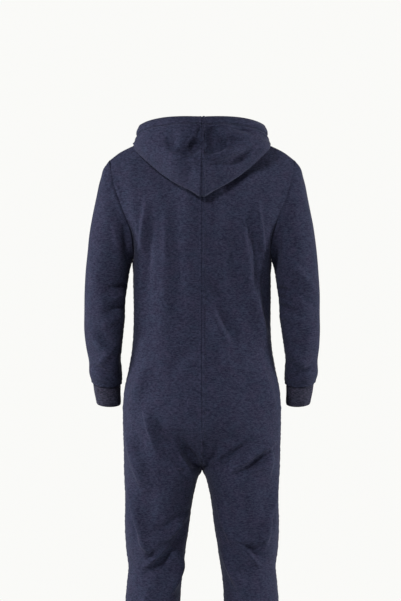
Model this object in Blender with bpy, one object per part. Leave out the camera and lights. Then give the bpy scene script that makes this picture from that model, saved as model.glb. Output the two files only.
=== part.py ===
"""Hooded one-piece pyjama in sweatshirt fleece, in its worn form with the hood down.

Metres, +Z up. The front faces -Y and the wearer's left is +X. The tables give heights above
the floor the wearer stands on. The origin is the point between the shoulders that holds the
garment up, MOUNT_HEIGHT above that floor. Every cloth piece is a wall whose outside is a grid
of points: rows run from the top down and columns run from the centre back round the wearer's
left side to the centre front. The right half is the mirror of the left, with its own folds.
"""

import math
from collections import namedtuple

import bmesh
import bpy
import numpy as np
from mathutils import Matrix, Vector
from mathutils.bvhtree import BVHTree

# Driving sizes
MOUNT_HEIGHT = 1.500
WALL = 0.0020
SEAM_GAP = 0.0003
NECK_EASE = 0.0003
UNDERARM_HEIGHT = 1.218
CROTCH_HEIGHT = 0.719
CROTCH_RISE = 0.130
SEAT_SEAM_HOLD = 5
LEG_CUFF_TOP = 0.135

# Columns and rows of the grids
NECK_COLUMNS = 4
SHOULDER_COLUMNS = 6
QUARTER = NECK_COLUMNS + SHOULDER_COLUMNS
YOKE_ROWS = 10
STATIONS_PER_NECK_COLUMN = 3
HOOD_ROWS_PER_CURVE = 2
HOOD_SPACING_POWER = 0.6
YOKE_BEND_FROM = 0.30
MITRE_LIMIT = 0.5
SMOOTH_ANGLE = math.radians(50)

# Neckline: back and front points on the centre line, and the point where the shoulder seam ends
NECK_BACK = Vector((0.0, 0.066, 1.520))
NECK_SIDE = Vector((0.080, 0.005, 1.525))
NECK_FRONT = Vector((0.0, -0.085, 1.445))
NECK_DIP_POWER = 1.5

# Zip
ZIP_BOTTOM = 0.860
ZIP_END_HALF_STEP = 0.003
ZIP_HALF_OPENING = 0.0060
TAPE_HALF_WIDTH = 0.0130
TAPE_WALL = 0.0010
TAPE_GAP = 0.0009
SLIDER_DROP = 0.010
SLIDER_GAP = 0.0005
SLIDER_LENGTH = 0.0130
SLIDER_WIDTH = 0.0090
SLIDER_HEIGHT = 0.0034
SLIDER_EDGE = 0.0008
BRIDGE_RADIUS = 0.0036
BRIDGE_THICKNESS = 0.0013
BRIDGE_SUNK_ANGLE = math.radians(12)
BRIDGE_STEPS = 10
PULL_LENGTH = 0.0260
PULL_WIDTH = 0.0064
PULL_THICKNESS = 0.0012
PULL_EYE_WIDTH = 0.0036
PULL_EYE_LENGTH = 0.0060
PULL_EYE_EDGE = 0.0004
PULL_END_STEPS = 8

# Rib cuffs
RIB_RISE = 0.0007
WRIST_RIBS = 30
WRIST_CUFF_LENGTH = 0.048
WRIST_CUFF_DRIFT = -0.004
ANKLE_RIBS = 36
ANKLE_CUFF_LENGTH = 0.065

Torso = namedtuple("Torso", "height half_width back front roundness")
TORSO = (
    Torso(1.218, 0.165, 0.112, 0.128, 2.30),
    Torso(1.165, 0.164, 0.109, 0.129, 2.35),
    Torso(1.110, 0.164, 0.103, 0.126, 2.40),
    Torso(1.069, 0.164, 0.100, 0.123, 2.40),
    Torso(1.012, 0.166, 0.102, 0.121, 2.40),
    Torso(0.973, 0.170, 0.109, 0.121, 2.40),
    Torso(0.935, 0.179, 0.119, 0.121, 2.35),
    Torso(0.896, 0.186, 0.127, 0.120, 2.30),
    Torso(0.860, 0.189, 0.131, 0.119, 2.30),
    Torso(0.820, 0.189, 0.131, 0.116, 2.30),
    Torso(0.780, 0.189, 0.126, 0.112, 2.30),
    Torso(0.719, 0.189, 0.116, 0.106, 2.30),
)

Leg = namedtuple("Leg", "height outer inner back front")
LEG = (
    Leg(0.719, 0.1870, 0.0000, 0.1140, 0.1055),
    Leg(0.704, 0.1864, 0.0060, 0.1125, 0.1050),
    Leg(0.685, 0.1855, 0.0120, 0.1100, 0.1040),
    Leg(0.666, 0.1847, 0.0170, 0.1070, 0.1030),
    Leg(0.628, 0.1840, 0.0240, 0.101, 0.100),
    Leg(0.570, 0.1840, 0.0310, 0.094, 0.095),
    Leg(0.532, 0.1820, 0.0375, 0.088, 0.092),
    Leg(0.512, 0.1800, 0.0400, 0.084, 0.091),
    Leg(0.493, 0.1780, 0.0425, 0.079, 0.089),
    Leg(0.474, 0.1750, 0.0460, 0.077, 0.086),
    Leg(0.455, 0.1780, 0.0480, 0.081, 0.082),
    Leg(0.436, 0.1800, 0.0500, 0.085, 0.079),
    Leg(0.397, 0.1840, 0.0520, 0.090, 0.074),
    Leg(0.340, 0.1840, 0.0560, 0.091, 0.068),
    Leg(0.280, 0.1810, 0.0610, 0.086, 0.063),
    Leg(0.220, 0.1775, 0.0665, 0.078, 0.058),
    Leg(0.175, 0.1760, 0.0690, 0.073, 0.056),
    Leg(0.155, 0.1740, 0.0710, 0.069, 0.054),
    Leg(0.143, 0.1690, 0.0760, 0.061, 0.048),
    Leg(0.135, 0.1630, 0.0820, 0.053, 0.041),
)

# Rows of the body below the underarm; crowding above 1 draws them towards the band's bottom
Band = namedtuple("Band", "top bottom rows crowding")
BODY_BANDS = (
    Band(UNDERARM_HEIGHT, ZIP_BOTTOM + ZIP_END_HALF_STEP, 8, 1.0),
    Band(ZIP_BOTTOM + ZIP_END_HALF_STEP, ZIP_BOTTOM - ZIP_END_HALF_STEP, 1, 1.0),
    Band(ZIP_BOTTOM - ZIP_END_HALF_STEP, CROTCH_HEIGHT, 6, 1.7),
    Band(CROTCH_HEIGHT, 0.560, 5, 1.0),
    Band(0.560, 0.430, 5, 1.0),
    Band(0.430, 0.175, 4, 1.0),
    Band(0.175, LEG_CUFF_TOP, 3, 1.0),
)

Shoulder = namedtuple("Shoulder", "across height")
SHOULDER = (
    Shoulder(0.080, 1.525),
    Shoulder(0.100, 1.516),
    Shoulder(0.120, 1.507),
    Shoulder(0.150, 1.4945),
    Shoulder(0.178, 1.482),
    Shoulder(0.201, 1.4695),
    Shoulder(0.222, 1.453),
)

# Armhole seam from the underarm up to the shoulder tip
Armhole = namedtuple("Armhole", "across depth height")
ARMHOLE_BACK = (
    Armhole(0.1650, 0.002, 1.218),
    Armhole(0.1625, 0.030, 1.238),
    Armhole(0.1690, 0.056, 1.281),
    Armhole(0.1850, 0.063, 1.322),
    Armhole(0.2030, 0.054, 1.370),
    Armhole(0.2150, 0.035, 1.413),
    Armhole(0.2220, 0.002, 1.453),
)
ARMHOLE_FRONT = (
    Armhole(0.1650, 0.002, 1.218),
    Armhole(0.1610, -0.030, 1.240),
    Armhole(0.1630, -0.056, 1.285),
    Armhole(0.1740, -0.063, 1.328),
    Armhole(0.1930, -0.053, 1.375),
    Armhole(0.2110, -0.033, 1.417),
    Armhole(0.2220, 0.002, 1.453),
)

# How far a yoke column is carried along at its underarm end (start) and its top end (finish)
Pull = namedtuple("Pull", "share start_y start_z finish_x finish_y finish_z")
BACK_PULLS = (
    Pull(0.0, 0.040, 0.30, 0.000, -0.140, 0.200),
    Pull(0.4, 0.060, 0.30, -0.020, -0.150, 0.150),
    Pull(0.7, 0.100, 0.28, 0.000, -0.260, 0.020),
    Pull(1.0, 0.120, 0.26, 0.000, -0.280, 0.010),
)
FRONT_PULLS = (
    Pull(0.0, -0.040, 0.22, 0.000, 0.075, 0.190),
    Pull(0.4, -0.050, 0.28, -0.010, 0.170, 0.150),
    Pull(0.7, -0.090, 0.28, 0.000, 0.260, 0.020),
    Pull(1.0, -0.110, 0.26, 0.000, 0.280, 0.010),
)

# Sleeve: the outer and the inner line of the arm, then the rings between them
ArmLine = namedtuple("ArmLine", "height across")
ARM_OUTER = (
    ArmLine(1.453, 0.222),
    ArmLine(1.434, 0.233),
    ArmLine(1.405, 0.245),
    ArmLine(1.376, 0.2515),
    ArmLine(1.338, 0.259),
    ArmLine(1.300, 0.266),
    ArmLine(1.261, 0.271),
    ArmLine(1.223, 0.276),
    ArmLine(1.165, 0.281),
    ArmLine(1.090, 0.282),
    ArmLine(1.012, 0.281),
    ArmLine(0.973, 0.275),
    ArmLine(0.940, 0.2745),
    ArmLine(0.924, 0.2695),
    ArmLine(0.914, 0.2645),
)
ARM_INNER = (
    ArmLine(1.218, 0.165),
    ArmLine(1.204, 0.170),
    ArmLine(1.185, 0.175),
    ArmLine(1.165, 0.178),
    ArmLine(1.146, 0.181),
    ArmLine(1.108, 0.1855),
    ArmLine(1.069, 0.187),
    ArmLine(1.031, 0.192),
    ArmLine(1.012, 0.194),
    ArmLine(0.973, 0.198),
    ArmLine(0.937, 0.1955),
    ArmLine(0.924, 0.197),
    ArmLine(0.914, 0.1995),
)
Ring = namedtuple("Ring", "outer_height inner_height depth middle drop")
SLEEVE_RINGS = (
    Ring(1.453, 1.218, 0.064, 0.000, 0.000),
    Ring(1.440, 1.212, 0.066, 0.000, 0.000),
    Ring(1.421, 1.206, 0.067, 0.000, 0.000),
    Ring(1.396, 1.200, 0.067, 0.001, 0.000),
    Ring(1.366, 1.192, 0.066, 0.002, 0.000),
    Ring(1.330, 1.181, 0.065, 0.003, 0.000),
    Ring(1.288, 1.166, 0.064, 0.005, 0.000),
    Ring(1.240, 1.143, 0.062, 0.007, 0.000),
    Ring(1.188, 1.112, 0.059, 0.009, 0.000),
    Ring(1.136, 1.075, 0.057, 0.009, 0.000),
    Ring(1.088, 1.038, 0.056, 0.004, 0.004),
    Ring(1.044, 1.004, 0.055, -0.003, 0.006),
    Ring(1.006, 0.976, 0.053, -0.011, 0.007),
    Ring(0.972, 0.951, 0.051, -0.019, 0.008),
    Ring(0.944, 0.932, 0.049, -0.026, 0.008),
    Ring(0.928, 0.923, 0.044, -0.031, 0.008),
    Ring(0.917, 0.914, 0.037, -0.034, 0.008),
)
SLEEVE_FADE = (1.0, 0.75, 0.5, 0.28, 0.12, 0.04)
WRIST_SHIFT = {"left": -0.003, "right": 0.004}
WRIST_SHIFT_FROM = 1.100
FOREARM_SLOPE = -0.20
WRIST_CUFF_END_HALF = 0.0295
ANKLE_CUFF_END_HALF = 0.0375

# Hood: named lines from the face edge, over the fold lying on the back, to the neck seam.
# A station of 0 is the centre seam, 0.5 the end of the shoulder seam and 1 the centre front.
Knot = namedtuple("Knot", "station across depth height")
HOOD_LINES = {
    "face_edge": (
        Knot(0.00, 0.0000, 0.112, 1.5490),
        Knot(0.12, 0.0480, 0.108, 1.5500),
        Knot(0.25, 0.0930, 0.094, 1.5480),
        Knot(0.38, 0.1310, 0.068, 1.5410),
        Knot(0.48, 0.1500, 0.037, 1.5330),
        Knot(0.60, 0.1420, 0.000, 1.5260),
        Knot(0.72, 0.1170, -0.042, 1.5200),
        Knot(0.86, 0.0680, -0.084, 1.5070),
        Knot(1.00, 0.0060, -0.100, 1.4920),
    ),
    "hem": (
        Knot(0.00, 0.0000, 0.133, 1.5270),
        Knot(0.12, 0.0510, 0.128, 1.5250),
        Knot(0.25, 0.0980, 0.109, 1.5230),
        Knot(0.38, 0.1380, 0.079, 1.5180),
        Knot(0.48, 0.1550, 0.042, 1.5140),
        Knot(0.60, 0.1500, 0.000, 1.5110),
        Knot(0.72, 0.1250, -0.045, 1.5080),
        Knot(0.86, 0.0730, -0.089, 1.4970),
        Knot(1.00, 0.0060, -0.098, 1.4840),
    ),
    "hollow": (
        Knot(0.00, 0.0000, 0.143, 1.4840),
        Knot(0.12, 0.0530, 0.141, 1.4860),
        Knot(0.25, 0.1030, 0.119, 1.4930),
        Knot(0.38, 0.1410, 0.085, 1.4990),
        Knot(0.48, 0.1560, 0.045, 1.5010),
        Knot(0.60, 0.1550, 0.000, 1.5010),
        Knot(0.72, 0.1290, -0.047, 1.4990),
        Knot(0.86, 0.0750, -0.091, 1.4890),
        Knot(1.00, 0.0060, -0.096, 1.4760),
    ),
    "ridge": (
        Knot(0.00, 0.0000, 0.156, 1.4540),
        Knot(0.12, 0.0560, 0.152, 1.4560),
        Knot(0.25, 0.1070, 0.124, 1.4690),
        Knot(0.38, 0.1470, 0.086, 1.4870),
        Knot(0.48, 0.1600, 0.046, 1.4940),
        Knot(0.60, 0.1590, 0.001, 1.4950),
        Knot(0.72, 0.1320, -0.048, 1.4930),
        Knot(0.86, 0.0760, -0.091, 1.4820),
        Knot(1.00, 0.0060, -0.094, 1.4690),
    ),
    "belly": (
        Knot(0.00, 0.0000, 0.151, 1.4080),
        Knot(0.12, 0.0540, 0.144, 1.4190),
        Knot(0.25, 0.1040, 0.115, 1.4420),
        Knot(0.38, 0.1460, 0.080, 1.4700),
        Knot(0.48, 0.1620, 0.044, 1.4860),
        Knot(0.60, 0.1600, 0.001, 1.4900),
        Knot(0.72, 0.1330, -0.047, 1.4880),
        Knot(0.86, 0.0760, -0.089, 1.4760),
        Knot(1.00, 0.0060, -0.092, 1.4630),
    ),
    "fold": (
        Knot(0.00, 0.0000, 0.130, 1.3650),
        Knot(0.12, 0.0500, 0.122, 1.3860),
        Knot(0.25, 0.0970, 0.092, 1.4170),
        Knot(0.38, 0.1390, 0.064, 1.4560),
        Knot(0.48, 0.1600, 0.038, 1.4790),
        Knot(0.60, 0.1560, 0.001, 1.4860),
        Knot(0.72, 0.1300, -0.045, 1.4830),
        Knot(0.86, 0.0740, -0.087, 1.4710),
        Knot(1.00, 0.0060, -0.090, 1.4580),
    ),
    "under": (
        Knot(0.00, 0.0000, 0.112, 1.4550),
        Knot(0.12, 0.0420, 0.110, 1.4600),
        Knot(0.25, 0.0840, 0.082, 1.4760),
        Knot(0.38, 0.1140, 0.052, 1.4990),
        Knot(0.48, 0.1250, 0.028, 1.5110),
        Knot(0.60, 0.1170, -0.002, 1.5100),
        Knot(0.72, 0.0970, -0.036, 1.5000),
        Knot(0.86, 0.0560, -0.076, 1.4780),
        Knot(1.00, 0.0060, -0.088, 1.4530),
    ),
    "crest": (
        Knot(0.00, 0.0000, 0.080, 1.5430),
        Knot(0.12, 0.0330, 0.077, 1.5440),
        Knot(0.25, 0.0640, 0.062, 1.5460),
        Knot(0.38, 0.0860, 0.038, 1.5460),
        Knot(0.48, 0.0930, 0.014, 1.5420),
        Knot(0.60, 0.0870, -0.014, 1.5290),
        Knot(0.72, 0.0720, -0.040, 1.5080),
        Knot(0.86, 0.0420, -0.071, 1.4750),
        Knot(1.00, 0.0060, -0.0865, 1.4490),
    ),
}
HOOD_CLEARANCE = 0.0080
HOOD_CLEARANCE_SHARE = 0.25
FIRST_LAID_LINE = 4

# Largest folds: a soft ridge (or, below zero, a trough) along a line in the view from behind.
# A fold fades at its two ends, towards the sides and next to a seam.
FOLD_END = 0.08
FOLD_FACING_GAIN = 1.6
FOLD_BY_BODY_SEAM = 0.75
FOLD_BY_ARMHOLE = 0.40
FOLD_BY_HOOD_SEAM = 0.60
Fold = namedtuple("Fold", "x0 z0 x1 z1 width lift")
BODY_FOLDS = {
    "left": (
        Fold(0.092, 1.260, 0.106, 1.000, 0.020, 0.0030),
        Fold(0.137, 1.320, 0.137, 1.260, 0.016, 0.0030),
        Fold(0.122, 0.850, 0.104, 0.765, 0.017, 0.0040),
        Fold(0.112, 0.810, 0.060, 0.725, 0.016, -0.0060),
        Fold(0.178, 0.776, 0.140, 0.695, 0.016, 0.0050),
        Fold(0.170, 0.650, 0.148, 0.558, 0.016, 0.0040),
        Fold(0.136, 0.530, 0.096, 0.548, 0.012, 0.0050),
        Fold(0.124, 0.478, 0.042, 0.588, 0.013, -0.0090),
        Fold(0.080, 0.570, 0.040, 0.612, 0.014, 0.0050),
        Fold(0.090, 0.398, 0.052, 0.490, 0.015, 0.0050),
    ),
    "right": (
        Fold(-0.108, 1.240, -0.150, 1.020, 0.020, 0.0030),
        Fold(-0.134, 1.320, -0.134, 1.266, 0.016, 0.0030),
        Fold(-0.020, 1.093, -0.067, 0.983, 0.018, 0.0035),
        Fold(-0.020, 1.160, -0.068, 1.050, 0.018, -0.0035),
        Fold(-0.029, 0.728, -0.085, 0.767, 0.015, -0.0045),
        Fold(-0.077, 0.716, -0.154, 0.762, 0.015, -0.0065),
        Fold(-0.175, 0.654, -0.158, 0.572, 0.016, 0.0040),
        Fold(-0.103, 0.544, -0.137, 0.517, 0.013, -0.0060),
        Fold(-0.052, 0.496, -0.084, 0.445, 0.015, 0.0045),
    ),
}
FRONT_FOLDS = {
    "left": (
        Fold(0.120, 1.300, 0.060, 1.180, 0.022, 0.0040),
        Fold(0.140, 0.920, 0.080, 0.820, 0.020, 0.0040),
        Fold(0.040, 0.735, 0.130, 0.790, 0.017, -0.0060),
        Fold(0.150, 0.560, 0.070, 0.520, 0.017, 0.0050),
        Fold(0.060, 0.600, 0.100, 0.480, 0.016, -0.0050),
    ),
    "right": (
        Fold(-0.130, 1.320, -0.050, 1.200, 0.022, 0.0040),
        Fold(-0.060, 0.980, -0.130, 0.880, 0.020, 0.0040),
        Fold(-0.035, 0.730, -0.120, 0.765, 0.017, -0.0060),
        Fold(-0.150, 0.600, -0.080, 0.540, 0.017, 0.0050),
        Fold(-0.070, 0.500, -0.140, 0.450, 0.016, -0.0050),
    ),
}
SLEEVE_FOLDS = {
    "left": (
        Fold(0.185, 1.165, 0.240, 1.120, 0.016, -0.0050),
        Fold(0.184, 1.105, 0.230, 1.085, 0.014, -0.0045),
        Fold(0.280, 1.010, 0.235, 0.965, 0.014, -0.0050),
        Fold(0.195, 0.985, 0.240, 0.945, 0.012, 0.0035),
    ),
    "right": (
        Fold(-0.205, 1.215, -0.265, 1.165, 0.017, 0.0045),
        Fold(-0.182, 1.140, -0.235, 1.125, 0.014, -0.0050),
        Fold(-0.183, 1.100, -0.240, 1.070, 0.014, -0.0045),
        Fold(-0.280, 0.980, -0.235, 0.950, 0.013, -0.0050),
    ),
}
HOOD_FOLDS = {
    "left": (
        Fold(0.040, 1.462, 0.012, 1.498, 0.010, -0.0090),
        Fold(0.074, 1.505, 0.068, 1.468, 0.011, -0.0040),
    ),
    "right": (
        Fold(-0.024, 1.468, -0.038, 1.510, 0.015, -0.0100),
        Fold(-0.060, 1.485, -0.090, 1.490, 0.012, -0.0050),
        Fold(-0.064, 1.442, -0.105, 1.462, 0.011, -0.0045),
    ),
}

Finish = namedtuple("Finish", "colour roughness metallic")
FLEECE = Finish((0.038, 0.041, 0.075), 0.92, 0.0)
RIB = Finish((0.034, 0.037, 0.068), 0.92, 0.0)
TAPE = Finish((0.020, 0.022, 0.040), 0.85, 0.0)
METAL = Finish((0.45, 0.45, 0.46), 0.35, 1.0)


def clear_scene():
    """Removes whatever the file holds."""
    for obj in list(bpy.data.objects):
        bpy.data.objects.remove(obj, do_unlink=True)


def hermite(start, start_pull, end, end_pull, t):
    """A cubic from start to end that leaves and arrives along the two pulls."""
    square, cube = t * t, t * t * t
    return (
        (2 * cube - 3 * square + 1) * start
        + (cube - 2 * square + t) * start_pull
        + (3 * square - 2 * cube) * end
        + (cube - square) * end_pull
    )


def read(table, key, at, *names):
    """Columns of a table at the values `at` of its key, on smooth curves through the rows."""
    keys = np.array([getattr(row, key) for row in table])
    order = np.argsort(keys)
    keys = keys[order]
    at = np.clip(np.asarray(at, float), keys[0], keys[-1])
    low = np.clip(np.searchsorted(keys, at, side="right") - 1, 0, len(keys) - 2)
    span = keys[low + 1] - keys[low]
    t = (at - keys[low]) / span
    found = []
    for name in names:
        values = np.array([getattr(row, name) for row in table])[order]
        slopes = np.gradient(values, keys)
        found.append(hermite(values[low], slopes[low] * span, values[low + 1], slopes[low + 1] * span, t))
    return found


def smooth_step(share):
    """0 to 1 with a flat start and end."""
    share = np.clip(share, 0.0, 1.0)
    return share * share * (3 - 2 * share)


def resample(points, count):
    """`count` + 1 points at equal distances along the smooth curve through `points`."""
    points = np.asarray(points, float)
    marks = np.concatenate(([0.0], np.cumsum(np.linalg.norm(np.diff(points, axis=0), axis=1))))
    slopes = np.gradient(points, marks, axis=0)

    def at(where):
        low = np.clip(np.searchsorted(marks, where, side="right") - 1, 0, len(marks) - 2)
        span = (marks[low + 1] - marks[low])[:, None]
        t = ((where - marks[low]) / span[:, 0])[:, None]
        return hermite(points[low], slopes[low] * span, points[low + 1], slopes[low + 1] * span, t)

    fine = at(np.linspace(0, marks[-1], 20 * count + 1))
    length = np.concatenate(([0.0], np.cumsum(np.linalg.norm(np.diff(fine, axis=0), axis=1))))
    wanted = np.linspace(0, length[-1], count + 1)
    return np.stack([np.interp(wanted, length, fine[:, axis]) for axis in range(3)], axis=1)


def unit(vectors):
    """Vectors of length 1 along the last axis."""
    return vectors / np.maximum(np.linalg.norm(vectors, axis=-1, keepdims=True), 1e-12)


class Cloth:
    """One cut piece: the grid of points on its outside and the outward direction at each."""

    def __init__(self, points, closed=False):
        self.points = np.array(points, float)
        self.closed = closed
        self.shift = np.zeros_like(self.points)
        self.find_normals()

    def steps(self, axis):
        """Differences between neighbours along the rows (1) or down the columns (0)."""
        if axis == 1 and self.closed:
            return np.roll(self.points, -1, axis=1) - np.roll(self.points, 1, axis=1)
        return np.gradient(self.points, axis=axis)

    def find_normals(self):
        """Outward directions, from the steps to the neighbouring points."""
        self.normals = unit(np.cross(unit(self.steps(1)), unit(self.steps(0))))

    def ease(self, border, distance=SEAM_GAP / 2):
        """Draws a border back, by half a seam gap if not told, within the cloth and square to its rim."""
        rows, columns = border
        edge = self.points[rows, columns]
        if self.closed:
            after, before = np.roll(edge, -1, axis=0) - edge, edge - np.roll(edge, 1, axis=0)
        else:
            spans = np.diff(edge, axis=0)
            after, before = np.vstack([spans, spans[-1:]]), np.vstack([spans[:1], spans])
        inside = self.points[self.inner_rows(rows), self.inner_columns(columns)] - edge
        normals = self.normals[rows, columns]
        middle = unit(np.cross(unit(before) + unit(after), normals))
        turned = np.sign(np.sum(middle * inside, axis=-1, keepdims=True))
        first, second = (unit(np.cross(run, normals)) for run in (before, after))
        mitre = 1 + np.sum(first * second, axis=-1, keepdims=True)
        across = np.where(mitre < MITRE_LIMIT, middle, (first + second) / np.maximum(mitre, MITRE_LIMIT))
        self.shift[rows, columns] += across * turned * distance

    def inner_rows(self, rows):
        """The rows one step in from a border that runs along a top or bottom row."""
        rows = np.asarray(rows)
        if rows.ndim and len(set(rows.tolist())) == 1:
            return rows + (1 if rows[0] == 0 else -1)
        return rows

    def inner_columns(self, columns):
        """The columns one step in from a border that runs down a first or last column."""
        columns = np.asarray(columns)
        if columns.ndim and len(set(columns.tolist())) == 1:
            return columns + (1 if columns[0] == 0 else -1)
        return columns

    def outside(self):
        return self.points + self.shift

    def inside(self, wall=WALL):
        return self.points + self.shift - self.normals * wall


def border(rows, columns):
    """Index arrays for a run of grid points: one of the two is a range, the other a number."""
    rows, columns = np.broadcast_arrays(np.asarray(rows), np.asarray(columns))
    return rows.copy(), columns.copy()


def share_normals(*runs):
    """Gives the points where pieces meet one common outward direction, so their rims are parallel."""
    total = unit(sum(cloth.normals[index] for cloth, index in runs))
    for cloth, index in runs:
        cloth.normals[index] = total


def row_heights():
    """Heights of the body's rows from the underarm to the ankle."""
    heights = [UNDERARM_HEIGHT]
    for band in BODY_BANDS:
        for step in range(1, band.rows + 1):
            share = 1 - (1 - step / band.rows) ** band.crowding
            heights.append(band.top + (band.bottom - band.top) * share)
    return heights


def torso_ring(height):
    """Half a torso section, from centre back round the left side to centre front."""
    names = ("half_width", "back", "front", "roundness")
    width, back, front, roundness = read(TORSO, "height", height, *names)
    turn = np.linspace(0, math.pi, 2 * QUARTER + 1)
    power = 2 / roundness
    across = width * np.clip(np.sin(turn), 0, 1) ** power
    reach = np.where(turn < math.pi / 2, back, front)
    depth = reach * np.sign(np.cos(turn)) * np.abs(np.cos(turn)) ** power
    return np.stack([across, depth, np.full_like(turn, height)], axis=1)


def leg_ring(height):
    """A whole leg section, from the inseam round the back, the outside and the front."""
    outer, inner, back, front = read(LEG, "height", height, "outer", "inner", "back", "front")
    turn = np.linspace(0, 2 * math.pi, 2 * QUARTER + 1)
    across = (outer + inner) / 2 - (outer - inner) / 2 * np.cos(turn)
    depth = (back - front) / 2 + (back + front) / 2 * np.sin(turn)
    return np.stack([across, depth, np.full_like(turn, height)], axis=1)


def body_ring(height):
    """A torso section that closes into a leg section as it nears the crotch.

    The centre seams dive to the crotch on a rounded U, and the columns further round ease over.
    """
    if height <= CROTCH_HEIGHT:
        return leg_ring(height)
    rise = min((height - CROTCH_HEIGHT) / CROTCH_RISE, 1.0)
    from_seam = 1 - np.abs(np.linspace(-1, 1, 2 * QUARTER + 1))
    at_seam = (1 - from_seam) ** SEAT_SEAM_HOLD
    dive = (1 - math.sqrt(rise)) ** 2
    ease = 1 - smooth_step(rise)
    share = (at_seam * dive + (1 - at_seam) * ease)[:, None]
    return (1 - share) * torso_ring(height) + share * leg_ring(height)


def neckline(front):
    """Neckline from the centre to the end of the shoulder seam."""
    centre = NECK_FRONT if front else NECK_BACK
    turn = np.linspace(0, math.pi / 2, NECK_COLUMNS + 1)
    across = NECK_SIDE.x * np.sin(turn)
    depth = NECK_SIDE.y + (centre.y - NECK_SIDE.y) * np.cos(turn)
    height = NECK_SIDE.z + (centre.z - NECK_SIDE.z) * np.cos(turn) ** NECK_DIP_POWER
    return np.stack([across, depth, height], axis=1)


def shoulder_seam():
    """Shoulder seam from the neckline to the shoulder tip."""
    tip = SHOULDER[-1]
    marks = np.linspace(0, 1, SHOULDER_COLUMNS + 1)
    across = NECK_SIDE.x + (tip.across - NECK_SIDE.x) * marks
    (height,) = read(SHOULDER, "across", across, "height")
    depth = NECK_SIDE.y + (ARMHOLE_BACK[-1].depth - NECK_SIDE.y) * marks
    return np.stack([across, depth, height], axis=1)


def armhole(table):
    """Armhole seam from the underarm to the shoulder tip, one point for each row of the yoke."""
    return resample([(row.across, row.depth, row.height) for row in table], YOKE_ROWS)


def yoke(underarm_row, front):
    """Rows from the shoulder line down to just above the underarm, columns from the centre."""
    top = np.concatenate([neckline(front), shoulder_seam()[1:]])
    shares = np.linspace(0, 1, QUARTER + 1)
    pulls = read(FRONT_PULLS if front else BACK_PULLS, "share", shares, *Pull._fields[1:])
    zero = np.zeros_like(shares)
    start_pull = np.stack([zero, pulls[0], pulls[1]], axis=1)
    end_pull = np.stack([pulls[2], pulls[3], pulls[4]], axis=1)
    seam = armhole(ARMHOLE_FRONT if front else ARMHOLE_BACK)
    bend = smooth_step((shares - YOKE_BEND_FROM) / (1 - YOKE_BEND_FROM))[:, None]
    rows = []
    for step in range(YOKE_ROWS, 0, -1):
        row = hermite(underarm_row, start_pull, top, end_pull, step / YOKE_ROWS)
        rows.append(row + bend * (seam[step] - row[-1]))
    return np.array(rows)


def fold_lift(points, folds):
    """How far each point is lifted by the folds whose lines pass near it in the view along Y."""
    lift = np.zeros(points.shape[:-1])
    flat = points[..., [0, 2]]
    for fold in folds:
        start = np.array([fold.x0, fold.z0])
        run = np.array([fold.x1, fold.z1]) - start
        along = np.clip((flat - start) @ run / (run @ run), 0, 1)
        away = np.linalg.norm(flat - (start + along[..., None] * run), axis=-1)
        body = np.sin(math.pi * np.clip(along, FOLD_END, 1 - FOLD_END)) ** 0.5
        lift += fold.lift * body * np.exp(-((away / fold.width) ** 2))
    return lift


def facing(normals, toward):
    """1 where the cloth faces +Y (toward 1) or -Y (toward -1), falling to 0 at the sides."""
    return smooth_step(normals[..., 1] * toward * FOLD_FACING_GAIN)


def fold_side(folds, side):
    """A side's folds as they lie on the left half."""
    return [fold._replace(x0=abs(fold.x0), x1=abs(fold.x1)) for fold in folds[side]]


def body_panels(side):
    """The back and the front half of one side, above and below the underarm."""
    lower = np.array([body_ring(height) for height in row_heights()])
    back = Cloth(np.concatenate([yoke(lower[0, : QUARTER + 1], False), lower[:, : QUARTER + 1]]))
    front_yoke = yoke(lower[0, QUARTER:][::-1], True)[:, ::-1]
    front = Cloth(np.concatenate([front_yoke, lower[:, QUARTER:]]))
    for cloth, folds, toward in ((back, BODY_FOLDS, 1), (front, FRONT_FOLDS, -1)):
        fade = np.ones(cloth.points.shape[:2])
        fade[:, [0, -1]] = 0.0
        fade[:, [1, -2]] = FOLD_BY_BODY_SEAM
        fade[0], fade[-1] = 0.0, 0.0
        lift = fold_lift(cloth.points, fold_side(folds, side)) * facing(cloth.normals, toward) * fade
        cloth.points += cloth.normals * lift[..., None]
    open_rows = front.points[:, -1, 2] > ZIP_BOTTOM
    front.points[open_rows, -1, 0] = ZIP_HALF_OPENING
    back.find_normals()
    front.find_normals()
    return back, front


def sleeve_ring(ring, side):
    """One elliptical sleeve section, from the outer line round the front, inside and back."""
    (outer,) = read(ARM_OUTER, "height", ring.outer_height, "across")
    (inner,) = read(ARM_INNER, "height", ring.inner_height, "across")
    turn = np.linspace(0, 2 * math.pi, 2 * YOKE_ROWS, endpoint=False)
    mix = (1 + np.cos(turn)) / 2
    height = ring.inner_height + (ring.outer_height - ring.inner_height) * mix
    across = inner + (outer - inner) * mix
    shift = smooth_step((WRIST_SHIFT_FROM - height) / (WRIST_SHIFT_FROM - SLEEVE_RINGS[-1].inner_height))
    depth = ring.middle - ring.depth * np.sin(turn)
    return np.stack(
        [across + shift * WRIST_SHIFT[side], depth, height + ring.drop * np.sin(turn)], axis=1
    )


def sleeve(side, back_seam, front_seam):
    """The sleeve, from the armhole seam to the wrist cuff."""
    loop = np.concatenate([front_seam[::-1], back_seam[1:-1]])
    start = loop - sleeve_ring(SLEEVE_RINGS[0], side)
    rows = []
    for number, ring in enumerate(SLEEVE_RINGS):
        fade = SLEEVE_FADE[number] if number < len(SLEEVE_FADE) else 0.0
        rows.append(sleeve_ring(ring, side) + fade * start)
    cloth = Cloth(rows, closed=True)
    fade = np.ones(cloth.points.shape[:2])
    fade[0], fade[1], fade[-1] = 0.0, FOLD_BY_ARMHOLE, 0.0
    lift = fold_lift(cloth.points, fold_side(SLEEVE_FOLDS, side)) * facing(cloth.normals, 1) * fade
    cloth.points += cloth.normals * lift[..., None]
    cloth.find_normals()
    return cloth


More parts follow.
